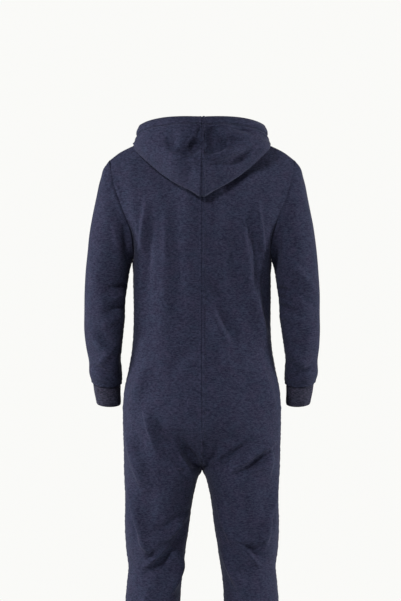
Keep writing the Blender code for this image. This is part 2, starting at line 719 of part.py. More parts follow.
def hood_grid(seam):
    """Points of half a hood: rows from the face edge to the neck seam, columns from the back."""
    count = (len(seam) - 1) * STATIONS_PER_NECK_COLUMN
    stations = np.linspace(0, 1, count + 1)
    lines = [
        np.stack(read(line, "station", stations, "across", "depth", "height"), axis=1)
        for line in HOOD_LINES.values()
    ]
    marks = np.linspace(0, len(seam) - 1, count + 1)
    neckline = [np.interp(marks, range(len(seam)), seam[:, axis]) for axis in range(3)]
    lines.append(np.stack(neckline, axis=1))
    keys = np.array(lines)
    return np.stack([resample_knots(keys[:, column]) for column in range(count + 1)], axis=1)


def resample_knots(knots):
    """A smooth curve through the knots with a fixed number of steps between neighbours."""
    steps = np.linalg.norm(np.diff(knots, axis=0), axis=1)
    marks = np.concatenate(([0.0], np.cumsum(steps**HOOD_SPACING_POWER)))
    slopes = np.gradient(knots, marks, axis=0)
    rows = []
    for low in range(len(knots) - 1):
        span = marks[low + 1] - marks[low]
        for step in range(HOOD_ROWS_PER_CURVE):
            t = step / HOOD_ROWS_PER_CURVE
            rows.append(
                hermite(knots[low], slopes[low] * span, knots[low + 1], slopes[low + 1] * span, t)
            )
    rows.append(knots[-1])
    return np.array(rows)


def surface_tree(*cloths):
    """Search tree over the outsides of the given pieces, faces turned outwards."""
    corners, faces = [], []
    for cloth in cloths:
        rows, columns = cloth.points.shape[:2]
        base = len(corners)
        corners.extend(Vector(point) for point in cloth.points.reshape(-1, 3))
        for row in range(rows - 1):
            for column in range(columns if cloth.closed else columns - 1):
                after = (column + 1) % columns
                faces.append(
                    [base + row * columns + column, base + row * columns + after]
                    + [base + (row + 1) * columns + after, base + (row + 1) * columns + column]
                )
    return BVHTree.FromPolygons(corners, faces)


def lay_over(point, tree, clearance):
    """The point moved out of the surface below it until it clears it."""
    place = Vector(point)
    nearest, normal, _, _ = tree.find_nearest(place)
    if (place - nearest).dot(normal) < clearance:
        place = nearest + normal * clearance
    return np.array(place)


def hood(side, seam, tree):
    """Half the hood, lying on the back and shoulders, open upwards as a pouch."""
    points = hood_grid(seam)
    first = FIRST_LAID_LINE * HOOD_ROWS_PER_CURVE
    last = points.shape[0] - 1 - HOOD_ROWS_PER_CURVE
    for row in range(first, last + 1):
        for column in range(points.shape[1]):
            from_seam = np.linalg.norm(points[row, column] - points[-1, column])
            clearance = min(HOOD_CLEARANCE, from_seam * HOOD_CLEARANCE_SHARE)
            points[row, column] = lay_over(points[row, column], tree, clearance)
    points[first:-1, 0, 0] = 0.0
    cloth = Cloth(points)
    fade = np.zeros(points.shape[:2])
    fade[1 : first + 2] = 1.0
    fade[:, 0] = 0.0
    fade[:, 1] = FOLD_BY_HOOD_SEAM
    lift = fold_lift(cloth.points, fold_side(HOOD_FOLDS, side)) * facing(cloth.normals, 1) * fade
    cloth.points += cloth.normals * lift[..., None]
    cloth.find_normals()
    return cloth


def grid_faces(heights, closed):
    """Corner numbers of a wall's faces: outside, inside and rims, for the left half.

    A rim's diagonal starts outside at its higher end, so facing rims are cut the same way.
    """
    rows, columns = heights.shape
    size = rows * columns
    spans = columns if closed else columns - 1

    def out(row, column):
        return row * columns + column % columns

    def back(row, column):
        return size + out(row, column)

    faces = []
    for row in range(rows - 1):
        for column in range(spans):
            a, b, c, d = (row, column), (row, column + 1), (row + 1, column + 1), (row + 1, column)
            faces += [(out(*a), out(*b), out(*c)), (out(*a), out(*c), out(*d))]
            faces += [(back(*c), back(*b), back(*a)), (back(*d), back(*c), back(*a))]
    rims = []
    for column in range(spans):
        rims.append(((0, column + 1), (0, column)))
        rims.append(((rows - 1, column), (rows - 1, column + 1)))
    if not closed:
        for row in range(rows - 1):
            rims.append(((row, 0), (row + 1, 0)))
            rims.append(((row + 1, columns - 1), (row, columns - 1)))
    for start, end in rims:
        quad = [out(*start), out(*end), back(*end), back(*start)]
        if heights[start[0], start[1] % columns] < heights[end[0], end[1] % columns]:
            quad = quad[1:] + quad[:1]
        faces += [(quad[0], quad[1], quad[2]), (quad[0], quad[2], quad[3])]
    return faces


def finish_material(name, finish):
    """A Principled material in a finish's colour, roughness and metallic value."""
    material = bpy.data.materials.new(name)
    material.use_nodes = True
    shader = material.node_tree.nodes["Principled BSDF"]
    shader.inputs["Base Color"].default_value = (*finish.colour, 1.0)
    shader.inputs["Roughness"].default_value = finish.roughness
    shader.inputs["Metallic"].default_value = finish.metallic
    return material


def add_object(name, mesh, finish):
    """An object in the scene that holds the mesh, with a material of its own."""
    mesh.materials.append(finish_material(name + "_finish", finish))
    obj = bpy.data.objects.new(name, mesh)
    bpy.context.scene.collection.objects.link(obj)
    return obj


def add_wall(name, outside, inside, closed, side, finish, heights=None):
    """A closed wall between two grids of points, mirrored for the right side."""
    heights = outside[..., 2] if heights is None else heights
    corners = np.concatenate([outside.reshape(-1, 3), inside.reshape(-1, 3)])
    corners[:, 2] -= MOUNT_HEIGHT
    if side == "right":
        corners[:, 0] *= -1
    bm = bmesh.new()
    verts = [bm.verts.new(corner) for corner in corners]
    for face in grid_faces(heights, closed):
        order = face if side == "left" else face[::-1]
        bm.faces.new([verts[number] for number in order]).smooth = True
    mesh = bpy.data.meshes.new(name)
    bm.to_mesh(mesh)
    bm.free()
    mesh.set_sharp_from_angle(angle=SMOOTH_ANGLE)
    return add_object(name, mesh, finish)


def add_cloth(name, cloth, side, finish):
    """A cloth piece's wall."""
    heights = cloth.points[..., 2]
    return add_wall(name, cloth.outside(), cloth.inside(), cloth.closed, side, finish, heights)


def add_cuff(name, seam_row, drift, end_half, length, ribs, side):
    """A rib cuff: a wall from the seam's ellipse to its end, its outside raised into ribs."""
    centre = seam_row.mean(axis=0)
    half_width = np.ptp(seam_row[:, 0]) / 2
    half_depth = np.ptp(seam_row[:, 1]) / 2
    tilt = (seam_row[:, 2] - centre[2]) @ (seam_row[:, 1] - centre[1])
    tilt /= (seam_row[:, 1] - centre[1]) @ (seam_row[:, 1] - centre[1])
    lean = (seam_row[:, 2] - centre[2]) @ (seam_row[:, 0] - centre[0])
    lean /= (seam_row[:, 0] - centre[0]) @ (seam_row[:, 0] - centre[0])
    turn = np.linspace(0, 2 * math.pi, 2 * ribs, endpoint=False)
    bump = np.where(np.arange(2 * ribs) % 2 == 0, RIB_RISE, 0.0)
    rows = {"outside": [], "inside": []}
    for share in (0.0, 1.0):
        width = half_width + (end_half - half_width) * share
        ratio = width / half_width
        for wall, rise in (("outside", bump), ("inside", -WALL)):
            across = (width + rise) * np.cos(turn)
            depth = -(half_depth * ratio + rise) * np.sin(turn)
            height = tilt * depth + lean * across - SEAM_GAP - (length - SEAM_GAP) * share
            slide = np.array([drift[0], drift[1], 0.0]) * share
            ring = np.stack([across, depth, height], axis=1) + centre + slide
            rows[wall].append(ring)
    return add_wall(name, np.array(rows["outside"]), np.array(rows["inside"]), True, side, RIB)


def zip_edge(cloth, rows):
    """Inner points of a front edge and of the column beside it, with their outward directions."""
    inside = cloth.inside()
    return inside[rows, -1], inside[rows, -2], cloth.normals[rows, -1]


def add_tape(name, cap, front, side):
    """The zip tape behind the edges of the hood and the front; returns its outside points."""
    neck = cap.points.shape[0] - 1
    open_rows = int(np.sum(front.points[:, -1, 2] > ZIP_BOTTOM))
    runs = (zip_edge(cap, range(neck + 1)), zip_edge(front, range(1, open_rows + 1)))
    edges, besides, outs = (np.concatenate(pair) for pair in zip(*runs))
    outs[:, 0] = 0.0
    outs = unit(outs)
    step = (besides - edges) / (besides - edges)[:, :1]
    columns = [edges + step * (across - edges[:, :1]) for across in (TAPE_HALF_WIDTH, SEAM_GAP / 2)]
    outside = np.stack(columns, axis=1) - outs[:, None] * TAPE_GAP
    add_wall(name, outside, outside - outs[:, None] * TAPE_WALL, False, side, TAPE)
    return outside


def box_mesh(name, size, bevel):
    """A box with rounded edges, centred on its own origin."""
    bm = bmesh.new()
    bmesh.ops.create_cube(bm, size=1.0)
    bmesh.ops.scale(bm, vec=size, verts=bm.verts)
    bmesh.ops.bevel(
        bm, geom=bm.edges[:], offset=bevel, segments=1, profile=0.5, affect="EDGES", material=-1
    )
    mesh = bpy.data.meshes.new(name)
    bm.to_mesh(mesh)
    bm.free()
    return mesh


def bridge_mesh(name):
    """Half a ring of square section that stands on the slider, its ends sunk into it."""
    bm = bmesh.new()
    half = BRIDGE_THICKNESS / 2
    section = [
        bm.verts.new((across, 0.0, BRIDGE_RADIUS + reach))
        for across, reach in ((-half, -half), (half, -half), (half, half), (-half, half))
    ]
    start = bm.faces.new(section)
    sweep = math.pi + 2 * BRIDGE_SUNK_ANGLE
    bmesh.ops.spin(bm, geom=[start], cent=(0, 0, 0), axis=(1, 0, 0), angle=sweep, steps=BRIDGE_STEPS)
    turn = Matrix.Rotation(-BRIDGE_SUNK_ANGLE, 3, "X")
    bmesh.ops.rotate(bm, verts=bm.verts, cent=(0, 0, 0), matrix=turn)
    bmesh.ops.recalc_face_normals(bm, faces=bm.faces)
    mesh = bpy.data.meshes.new(name)
    bm.to_mesh(mesh)
    bm.free()
    return mesh


def cutter(name, mesh, parent):
    """A hidden solid that another object is joined with or cut by."""
    obj = bpy.data.objects.new(name, mesh)
    obj.hide_render = True
    obj.display_type = "WIRE"
    obj.parent = parent
    bpy.context.scene.collection.objects.link(obj)
    return obj


def combine(obj, other, operation):
    """A live Boolean with the exact solver."""
    boolean = obj.modifiers.new(other.name, "BOOLEAN")
    boolean.operation = operation
    boolean.object = other
    boolean.solver = "EXACT"


def add_slider(tape_outside):
    """Slider at the zip's top end, and the pull tab that hangs from its bridge."""
    place, tilt = zip_top(tape_outside)
    slider_size = (SLIDER_WIDTH, SLIDER_HEIGHT, SLIDER_LENGTH)
    slider = add_object("zip_slider", box_mesh("zip_slider", slider_size, SLIDER_EDGE), METAL)
    outward = Vector((0, -math.cos(tilt), -math.sin(tilt)))
    slider.location = place + outward * (SLIDER_GAP + SLIDER_HEIGHT / 2)
    slider.rotation_euler = (tilt, 0, 0)
    bridge = cutter("zip_bridge_form", bridge_mesh("zip_bridge_form"), slider)
    bridge.location = (0, -SLIDER_HEIGHT / 2, 0)
    combine(slider, bridge, "UNION")
    hinge_height = (BRIDGE_RADIUS - BRIDGE_THICKNESS / 2) / 2
    hinge = slider.location + outward * (SLIDER_HEIGHT / 2 + hinge_height)
    pull = add_object("zip_pull", pull_mesh("zip_pull"), METAL)
    pull.location = hinge
    eye_size = (PULL_EYE_WIDTH, 4 * PULL_THICKNESS, PULL_EYE_LENGTH)
    eye = cutter("zip_eye_form", box_mesh("zip_eye_form", eye_size, PULL_EYE_EDGE), pull)
    eye.location = (0, 0, -(PULL_THICKNESS + PULL_EYE_LENGTH) / 2)
    combine(pull, eye, "DIFFERENCE")


def zip_top(tape_outside):
    """Place on the tape's outside for the slider, and how far the tape leans from upright."""
    line = tape_outside[:, -1].copy()
    line[:, 0] = 0.0
    line[:, 2] -= MOUNT_HEIGHT
    length = np.concatenate(([0.0], np.cumsum(np.linalg.norm(np.diff(line, axis=0), axis=1))))
    spots = [Vector([np.interp(at, length, line[:, axis]) for axis in range(3)])
             for at in (SLIDER_DROP - SLIDER_LENGTH / 2, SLIDER_DROP, SLIDER_DROP + SLIDER_LENGTH / 2)]
    lean = spots[0] - spots[2]
    return spots[1], math.atan2(-lean.y, lean.z)


def pull_mesh(name):
    """A flat tab hanging from the hinge line, its bar centred on the line and its end rounded."""
    bm = bmesh.new()
    half = PULL_WIDTH / 2
    top = PULL_THICKNESS / 2
    outline = [(-half, top), (-half, half - PULL_LENGTH)]
    for step in range(1, PULL_END_STEPS):
        angle = math.pi + step * math.pi / PULL_END_STEPS
        outline.append((half * math.cos(angle), half - PULL_LENGTH + half * math.sin(angle)))
    outline += [(half, half - PULL_LENGTH), (half, top)]
    face = bm.faces.new([bm.verts.new((x, -PULL_THICKNESS / 2, z)) for x, z in outline])
    made = bmesh.ops.extrude_face_region(bm, geom=[face])
    moved = [item for item in made["geom"] if isinstance(item, bmesh.types.BMVert)]
    bmesh.ops.translate(bm, verts=moved, vec=(0, PULL_THICKNESS, 0))
    bmesh.ops.recalc_face_normals(bm, faces=bm.faces)
    mesh = bpy.data.meshes.new(name)
    bm.to_mesh(mesh)
    bm.free()
    return mesh


def join_seams(back, front, arm, cap):
    """Common directions along every seam, then half a gap drawn back on each side of it."""
    rows = back.points.shape[0]
    underarm = YOKE_ROWS
    crotch = int(np.argmin(np.abs(back.points[:, 0, 2] - CROTCH_HEIGHT)))
    upper, lower = np.arange(crotch + 1), np.arange(crotch, rows)
    below = np.arange(underarm, rows)
    shoulder = np.arange(NECK_COLUMNS, QUARTER + 1)
    arm_front = np.arange(YOKE_ROWS + 1)
    arm_back = np.arange(2 * YOKE_ROWS, YOKE_ROWS - 1, -1) % (2 * YOKE_ROWS)
    yoke_side = np.arange(YOKE_ROWS + 1)
    for cloth, column in ((back, 0), (front, QUARTER)):
        cloth.normals[upper, column, 0] = 0.0
        cloth.normals[upper, column] = unit(cloth.normals[upper, column])
    share_normals((back, border(lower[1:], 0)), (front, border(lower[1:], QUARTER)))
    for cloth, column in ((back, 0), (front, QUARTER)):
        cloth.normals[crotch, column] = (0, 0, -1)
    share_normals((back, border(below, QUARTER)), (front, border(below, 0)))
    share_normals((back, border(0, shoulder)), (front, border(0, QUARTER - shoulder)))
    share_normals((back, border(yoke_side[:-1], QUARTER)), (arm, border(0, arm_back[:-1])))
    share_normals((front, border(yoke_side[:-1], 0)), (arm, border(0, arm_front[:-1])))
    tip = [(back, border([0], QUARTER)), (front, border([0], 0)), (arm, border(0, [0]))]
    pit = [(back, border([underarm], QUARTER)), (front, border([underarm], 0))]
    share_normals(*tip)
    share_normals(*pit)
    share_normals(pit[0], (arm, border(0, [YOKE_ROWS])))
    front.normals[pit[1][1]] = back.normals[pit[0][1]]
    back.ease(border(np.arange(rows), 0))
    front.ease(border(lower, QUARTER))
    below_zip = [row for row in upper if front.points[row, -1, 2] <= ZIP_BOTTOM]
    front.ease(border(np.array(below_zip), QUARTER))
    back.ease(border(np.arange(rows), QUARTER))
    front.ease(border(np.arange(rows), 0))
    back.ease(border(0, np.arange(QUARTER + 1)))
    front.ease(border(0, np.arange(QUARTER + 1)))
    arm.ease(border(0, np.arange(2 * YOKE_ROWS)))
    neck_runs(back, front, cap)


def neck_runs(back, front, cap):
    """Common directions where the hood meets the two necklines, and the gap on the hood's side."""
    last = cap.points.shape[0] - 1
    back_neck = np.arange(NECK_COLUMNS + 1)
    front_neck = np.arange(QUARTER - NECK_COLUMNS, QUARTER + 1)
    share_normals(
        (back, border([0], NECK_COLUMNS)),
        (front, border([0], QUARTER - NECK_COLUMNS)),
    )
    body = np.concatenate([back.normals[0, back_neck], front.normals[0, front_neck][1:]])
    hooded = cap.normals[last, ::STATIONS_PER_NECK_COLUMN]
    common = unit(body + hooded)
    common[[0, -1], 0] = 0.0
    common = unit(common)
    back.normals[0, back_neck] = common[: NECK_COLUMNS + 1]
    front.normals[0, front_neck] = common[NECK_COLUMNS:]
    marks = np.linspace(0, len(common) - 1, cap.points.shape[1])
    cap.normals[last] = unit(
        np.stack([np.interp(marks, range(len(common)), common[:, axis]) for axis in range(3)], axis=1)
    )
    cap.normals[:, 0, 0] = 0.0
    cap.normals[:, 0] = unit(cap.normals[:, 0])
    cap.normals[:, -1, 0] = 0.0
    cap.normals[:, -1] = unit(cap.normals[:, -1])
    cap.ease(border(np.full(cap.points.shape[1], last), np.arange(cap.points.shape[1])), NECK_EASE)
    cap.ease(border(np.arange(last + 1), 0))


def build_side(side):
    """All pieces of one side; returns the outside points of its zip tape."""
    back, front = body_panels(side)
    arm = sleeve(side, armhole(ARMHOLE_BACK), armhole(ARMHOLE_FRONT))
    tree = surface_tree(back, front, arm)
    seam = np.concatenate([back.points[0, : NECK_COLUMNS + 1], front.points[0, -NECK_COLUMNS:]])
    cap = hood(side, seam, tree)
    join_seams(back, front, arm, cap)
    add_cloth("back_" + side, back, side, FLEECE)
    add_cloth("front_" + side, front, side, FLEECE)
    add_cloth("sleeve_" + side, arm, side, FLEECE)
    add_cloth("hood_" + side, cap, side, FLEECE)
    wrist = arm.points[-1]
    add_cuff(
        "cuff_" + side, wrist, (WRIST_CUFF_DRIFT, FOREARM_SLOPE * WRIST_CUFF_LENGTH), WRIST_CUFF_END_HALF,
        WRIST_CUFF_LENGTH, WRIST_RIBS, side,
    )
    ankle = np.concatenate([back.points[-1], front.points[-1, 1:-1]])
    add_cuff(
        "leg_cuff_" + side, ankle, (0.0, 0.0), ANKLE_CUFF_END_HALF, ANKLE_CUFF_LENGTH, ANKLE_RIBS, side
    )
    return add_tape("zip_tape_" + side, cap, front, side)


def main():
    clear_scene()
    tape_outside = build_side("left")
    build_side("right")
    add_slider(tape_outside)


main()
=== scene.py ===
"""A hooded one-piece pyjama in navy melange fleece, worn form, hood lying on the back.

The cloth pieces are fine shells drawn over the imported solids: their points are read as a grid of
rows and columns, a smooth surface is laid through them, and soft folds, seam rolls and puckers
are pressed into it.  Stitches, zip teeth and stops are separate small pieces.
"""

import logging
import math
from dataclasses import dataclass
from enum import Enum
from typing import Callable, Iterable, Sequence

import bmesh
import bpy
import numpy as np
from mathutils import Matrix, Vector, noise


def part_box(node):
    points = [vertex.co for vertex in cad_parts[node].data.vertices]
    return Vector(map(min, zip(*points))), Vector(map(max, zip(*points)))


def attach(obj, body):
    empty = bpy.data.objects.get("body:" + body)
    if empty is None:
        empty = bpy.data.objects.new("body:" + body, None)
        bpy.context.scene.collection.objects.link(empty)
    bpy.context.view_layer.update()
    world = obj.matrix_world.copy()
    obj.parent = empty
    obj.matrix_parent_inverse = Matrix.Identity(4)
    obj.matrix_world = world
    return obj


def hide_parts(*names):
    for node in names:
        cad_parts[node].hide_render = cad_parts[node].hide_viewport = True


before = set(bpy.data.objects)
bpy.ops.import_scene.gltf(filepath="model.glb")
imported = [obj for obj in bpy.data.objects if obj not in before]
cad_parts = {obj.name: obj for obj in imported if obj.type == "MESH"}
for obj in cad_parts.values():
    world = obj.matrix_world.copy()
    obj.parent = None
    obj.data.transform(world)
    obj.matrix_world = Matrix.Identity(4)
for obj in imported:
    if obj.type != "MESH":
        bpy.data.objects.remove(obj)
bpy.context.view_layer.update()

logging.basicConfig(level=logging.INFO, format="%(name)s: %(message)s")
LOG = logging.getLogger("onesie")

GARMENT_BODY = "garment"
FLOOR_HEIGHT = -1.5
# the cloth's wall, and how closely the solids' edges across their rims keep to it
WALL = 0.0020
RIM_TOLERANCE = 0.00002
# points this close are one point: a solid's, and a tube's first and last column
SOLID_WELD = 0.000005
WELD_DISTANCE = 0.000001
# vectors aren't divided by less than this
TINY = 1e-12

Colour = tuple[float, float, float]
Sockets = dict[str, bpy.types.NodeSocket]
# a step on a solid's lattice of points
Step = tuple[int, int]
# places on the cloth with their outward directions
ClothLine = list[tuple[Vector, Vector]]


class Side(Enum):
    """The wearer's side a piece is on; the value is the sign of its x."""

    LEFT = 1
    RIGHT = -1

    @property
    def word(self) -> str:
        """The side's name as the pieces carry it."""
        return self.name.lower()


class Slot(Enum):
    """Names of the material slots."""

    FLEECE = "fleece"
    RIB = "rib"
    TAPE = "zip_tape"
    METAL = "zip_metal"


class Facing(Enum):
    """The way a group of folds is looked at: from behind or from the front."""

    BACK = 1
    FRONT = -1


# ---------------------------------------------------------------------------------------------
# Shader building
# ---------------------------------------------------------------------------------------------


@dataclass(frozen=True)
class Pattern:
    """A noise pattern: swells to the metre, finer layers, their weight, and how it is stretched."""

    scale: float
    detail: float = 2.0
    rough: float = 0.5
    stretch: tuple[float, float, float] | None = None


# a Mix node's sockets: its two colours and their mix, and its two numbers
MIX_FIRST_COLOUR = 6
MIX_SECOND_COLOUR = 7
MIXED_COLOUR = 2
MIX_FIRST_NUMBER = 2
MIX_SECOND_NUMBER = 3


class Shader:
    """Short calls for adding and linking nodes in one tree."""

    def __init__(self, tree: bpy.types.NodeTree) -> None:
        """Keeps the tree that the calls work on.

        Args:
            tree: a material's or a group's node tree.
        """
        self.tree = tree

    def add(self, kind: str, **values: object) -> bpy.types.Node:
        """Adds a node and sets its properties.

        Args:
            kind: the node's type name.
            **values: properties of the node.

        Returns:
            The new node.
        """
        node = self.tree.nodes.new(kind)
        for name, value in values.items():
            setattr(node, name, value)
        return node

    def feed(self, source: object, target: bpy.types.NodeSocket) -> None:
        """Links an output to a socket, or sets a plain value on it."""
        if isinstance(source, bpy.types.NodeSocket):
            self.tree.links.new(source, target)
        else:
            target.default_value = source

    def math(self, operation: str, *terms: object) -> bpy.types.NodeSocket:
        """Adds a Math node over numbers or outputs.

        Args:
            operation: the Math node's operation.
            *terms: its inputs in order.

        Returns:
            The node's output.
        """
        node = self.add("ShaderNodeMath", operation=operation)
        for number, term in enumerate(terms):
            self.feed(term, node.inputs[number])
        return node.outputs[0]

    def weighted(self, *parts: tuple[object, float]) -> bpy.types.NodeSocket:
        """Adds outputs up, each times its share."""
        terms = [self.math("MULTIPLY", source, share) for source, share in parts]
        total = terms[0]
        for term in terms[1:]:
            total = self.math("ADD", total, term)
        return total

    def blend(self, factor: object, first: object, second: object) -> bpy.types.NodeSocket:
        """Adds a colour Mix node.

        Args:
            factor: how much of the second colour shows.
            first: the colour below.
            second: the colour on top.

        Returns:
            The mixed colour.
        """
        node = self.add("ShaderNodeMix", data_type="RGBA")
        self.feed(factor, node.inputs[0])
        self.feed(first, node.inputs[MIX_FIRST_COLOUR])
        self.feed(second, node.inputs[MIX_SECOND_COLOUR])
        return node.outputs[MIXED_COLOUR]

    def noise(self, position: object, pattern: Pattern) -> bpy.types.NodeSocket:
        """Adds a noise pattern over positions and gives its value from 0 to 1."""
        if pattern.stretch is not None:
            position = self.stretched(position, pattern.stretch)
        node = self.add("ShaderNodeTexNoise")
        self.feed(position, node.inputs["Vector"])
        node.inputs["Scale"].default_value = pattern.scale
        node.inputs["Detail"].default_value = pattern.detail
        node.inputs["Roughness"].default_value = pattern.rough
        return node.outputs["Fac"]

    def remap(
        self, value: object, low: float, high: float, to_low: float = 0.0, to_high: float = 1.0
    ) -> bpy.types.NodeSocket:
        """Adds a clamped Map Range from low..high to to_low..to_high."""
        node = self.add("ShaderNodeMapRange")
        self.feed(value, node.inputs[0])
        for number, limit in enumerate((low, high, to_low, to_high), start=1):
            node.inputs[number].default_value = limit
        return node.outputs[0]

    def stretched(self, position: object, scale: tuple[float, float, float]) -> bpy.types.NodeSocket:
        """Adds a Mapping node that stretches a pattern's space."""
        node = self.add("ShaderNodeMapping")
        self.feed(position, node.inputs["Vector"])
        node.inputs["Scale"].default_value = scale
        return node.outputs["Vector"]


def new_group(
    name: str, inputs: Sequence[tuple[str, str, object]], outputs: Sequence[tuple[str, str]]
) -> tuple[bpy.types.NodeTree, Shader, Sockets, Sockets]:
    """Makes an empty shader node group.

    Args:
        name: the group's name.
        inputs: (name, socket type, default) of each input.
        outputs: (name, socket type) of each output.

    Returns:
        The tree, a builder on it, its input values by name, and its output sockets by name.
    """
    tree = bpy.data.node_groups.new(name, "ShaderNodeTree")
    for label, kind, value in inputs:
        socket = tree.interface.new_socket(name=label, in_out="INPUT", socket_type=kind)
        if value is not None:
            socket.default_value = value
    for label, kind in outputs:
        tree.interface.new_socket(name=label, in_out="OUTPUT", socket_type=kind)
    shader = Shader(tree)
    start, end = shader.add("NodeGroupInput"), shader.add("NodeGroupOutput")
    given = {socket.name: socket for socket in start.outputs if socket.name}
    out = {socket.name: socket for socket in end.inputs if socket.name}
    return tree, shader, given, out


# the yarn: single fibres, thicker places, soft clouds, and where blue runs to plum
FLECK = Pattern(520.0, rough=0.6, stretch=(1.0, 1.0, 1.4))
FLECK_SHARE = 0.38
SLUB = Pattern(330.0, rough=0.6, stretch=(0.42, 0.42, 1.25))
SLUB_SHARE = 0.54
CLOUD = Pattern(42.0, detail=3.0, rough=0.6)
CLOUD_SHARE = 0.08
FIBRE = Pattern(120.0, detail=3.0, rough=0.65, stretch=(0.7, 0.7, 1.0))
PATCH = Pattern(34.0, rough=0.55)
HUE_SHARE = 0.5
MIX_WINDOW = (0.40, 0.60)
HUE_WINDOW = (0.36, 0.64)
# the jersey face: stitches across and down, and the nap over them
WALE_PITCH = 0.0013
WALE_SHARE = 0.7
COURSE_PITCH = 0.0010
COURSE_SHARE = 0.3
NAP = Pattern(900.0, detail=3.0, rough=0.7)
NAP_SHARE = 0.6
PILL = Pattern(170.0)
PILL_SHARE = 0.4


class ClothEffects:
    """The node groups that the cloth finishes share."""

    def __init__(self) -> None:
        """Builds each group once."""
        self.melange = self._melange()
        self.jersey = self._jersey()

    @staticmethod
    def _melange() -> bpy.types.NodeTree:
        """Colour of a yarn spun from dark and pale fibres, whose pale ones run from blue to plum.

        Returns:
            The group: Position, Dark, Light, Warm and Strength in, Color and Fleck out.
        """
        tree, s, given, out = new_group(
            "melange_yarn",
            [("Position", "NodeSocketVector", None), ("Dark", "NodeSocketColor", (0, 0, 0, 1)),
             ("Light", "NodeSocketColor", (1, 1, 1, 1)), ("Warm", "NodeSocketColor", (1, 1, 1, 1)),
             ("Strength", "NodeSocketFloat", 1.0)],
            [("Color", "NodeSocketColor"), ("Fleck", "NodeSocketFloat")],
        )
        fleck, slub, cloud = (s.noise(given["Position"], pattern) for pattern in (FLECK, SLUB, CLOUD))
        mix = s.weighted((fleck, FLECK_SHARE), (slub, SLUB_SHARE), (cloud, CLOUD_SHARE))
        spread = s.remap(mix, *MIX_WINDOW)
        from_middle = s.math("MULTIPLY", s.math("SUBTRACT", spread, 0.5), given["Strength"])
        fibre, patch = (s.noise(given["Position"], pattern) for pattern in (FIBRE, PATCH))
        hue = s.remap(s.weighted((fibre, HUE_SHARE), (patch, 1 - HUE_SHARE)), *HUE_WINDOW)
        pale = s.blend(hue, given["Light"], given["Warm"])
        s.feed(s.blend(s.math("ADD", 0.5, from_middle), given["Dark"], pale), out["Color"])
        s.feed(spread, out["Fleck"])
        return tree

    @staticmethod
    def _jersey() -> bpy.types.NodeTree:
        """Height of a fine jersey face: rows of small stitches under a short nap.

        Returns:
            The group: Cut (the piece's UV in metres), Position and Nap in, Height out.
        """
        tree, s, given, out = new_group(
            "jersey_face",
            [("Cut", "NodeSocketVector", None), ("Position", "NodeSocketVector", None),
             ("Nap", "NodeSocketFloat", 0.6)],
            [("Height", "NodeSocketFloat")],
        )
        split = s.add("ShaderNodeSeparateXYZ")
        s.feed(given["Cut"], split.inputs[0])
        wale = s.math("ABSOLUTE", s.math("SINE", s.math("MULTIPLY", split.outputs[0], math.pi / WALE_PITCH)))
        course = s.math("SINE", s.math("MULTIPLY", split.outputs[1], 2 * math.pi / COURSE_PITCH))
        knit = s.weighted((wale, WALE_SHARE), (course, COURSE_SHARE))
        nap, pill = (s.noise(given["Position"], pattern) for pattern in (NAP, PILL))
        fur = s.weighted((nap, NAP_SHARE), (pill, PILL_SHARE))
        mixed = s.add("ShaderNodeMix", data_type="FLOAT")
        for number, value in ((0, given["Nap"]), (MIX_FIRST_NUMBER, knit), (MIX_SECOND_NUMBER, fur)):
            s.feed(value, mixed.inputs[number])
        s.feed(mixed.outputs[0], out["Height"])
        return tree


@dataclass(frozen=True)
class Melange:
    """A melange cloth finish: its two fibre colours and how its face is knitted."""

    name: str
    dark: Colour
    light: Colour
    warm: Colour
    strength: float = 1.0
    nap: float = 0.62
    relief: float = 0.00035
    bump: float = 0.55
    roughness: float = 0.94
    fleck_gloss: float = 0.08
    specular: float = 0.06
    sheen: float = 0.05
    sheen_roughness: float = 0.45
    sheen_tint: Colour = (0.50, 0.52, 0.68)

    def build(self, effects: ClothEffects) -> bpy.types.Material:
        """Makes the material.

        Args:
            effects: the shared groups.

        Returns:
            The finished material.
        """
        material = bpy.data.materials.new(self.name)
        material.use_nodes = True
        s = Shader(material.node_tree)
        skin = material.node_tree.nodes["Principled BSDF"]
        place = s.add("ShaderNodeTexCoord")
        cut = s.add("ShaderNodeUVMap", uv_map="cut")
        yarn = s.add("ShaderNodeGroup", node_tree=effects.melange)
        s.feed(place.outputs["Object"], yarn.inputs["Position"])
        yarn.inputs["Dark"].default_value = (*self.dark, 1)
        yarn.inputs["Light"].default_value = (*self.light, 1)
        yarn.inputs["Warm"].default_value = (*self.warm, 1)
        yarn.inputs["Strength"].default_value = self.strength
        face = s.add("ShaderNodeGroup", node_tree=effects.jersey)
        s.feed(cut.outputs["UV"], face.inputs["Cut"])
        s.feed(place.outputs["Object"], face.inputs["Position"])
        face.inputs["Nap"].default_value = self.nap
        bump = s.add("ShaderNodeBump")
        bump.inputs["Strength"].default_value = self.bump
        bump.inputs["Distance"].default_value = self.relief
        s.feed(face.outputs["Height"], bump.inputs["Height"])
        s.feed(yarn.outputs["Color"], skin.inputs["Base Color"])
        s.feed(bump.outputs["Normal"], skin.inputs["Normal"])
        glossed = self.roughness - self.fleck_gloss
        s.feed(s.remap(yarn.outputs["Fleck"], 0.0, 1.0, self.roughness, glossed), skin.inputs["Roughness"])
        skin.inputs["Specular IOR Level"].default_value = self.specular
        skin.inputs["Sheen Weight"].default_value = self.sheen
        skin.inputs["Sheen Roughness"].default_value = self.sheen_roughness
        skin.inputs["Sheen Tint"].default_value = (*self.sheen_tint, 1)
        return material


GRAIN_WINDOW = (0.35, 0.65)
WEAR_WINDOW = (0.3, 0.7)


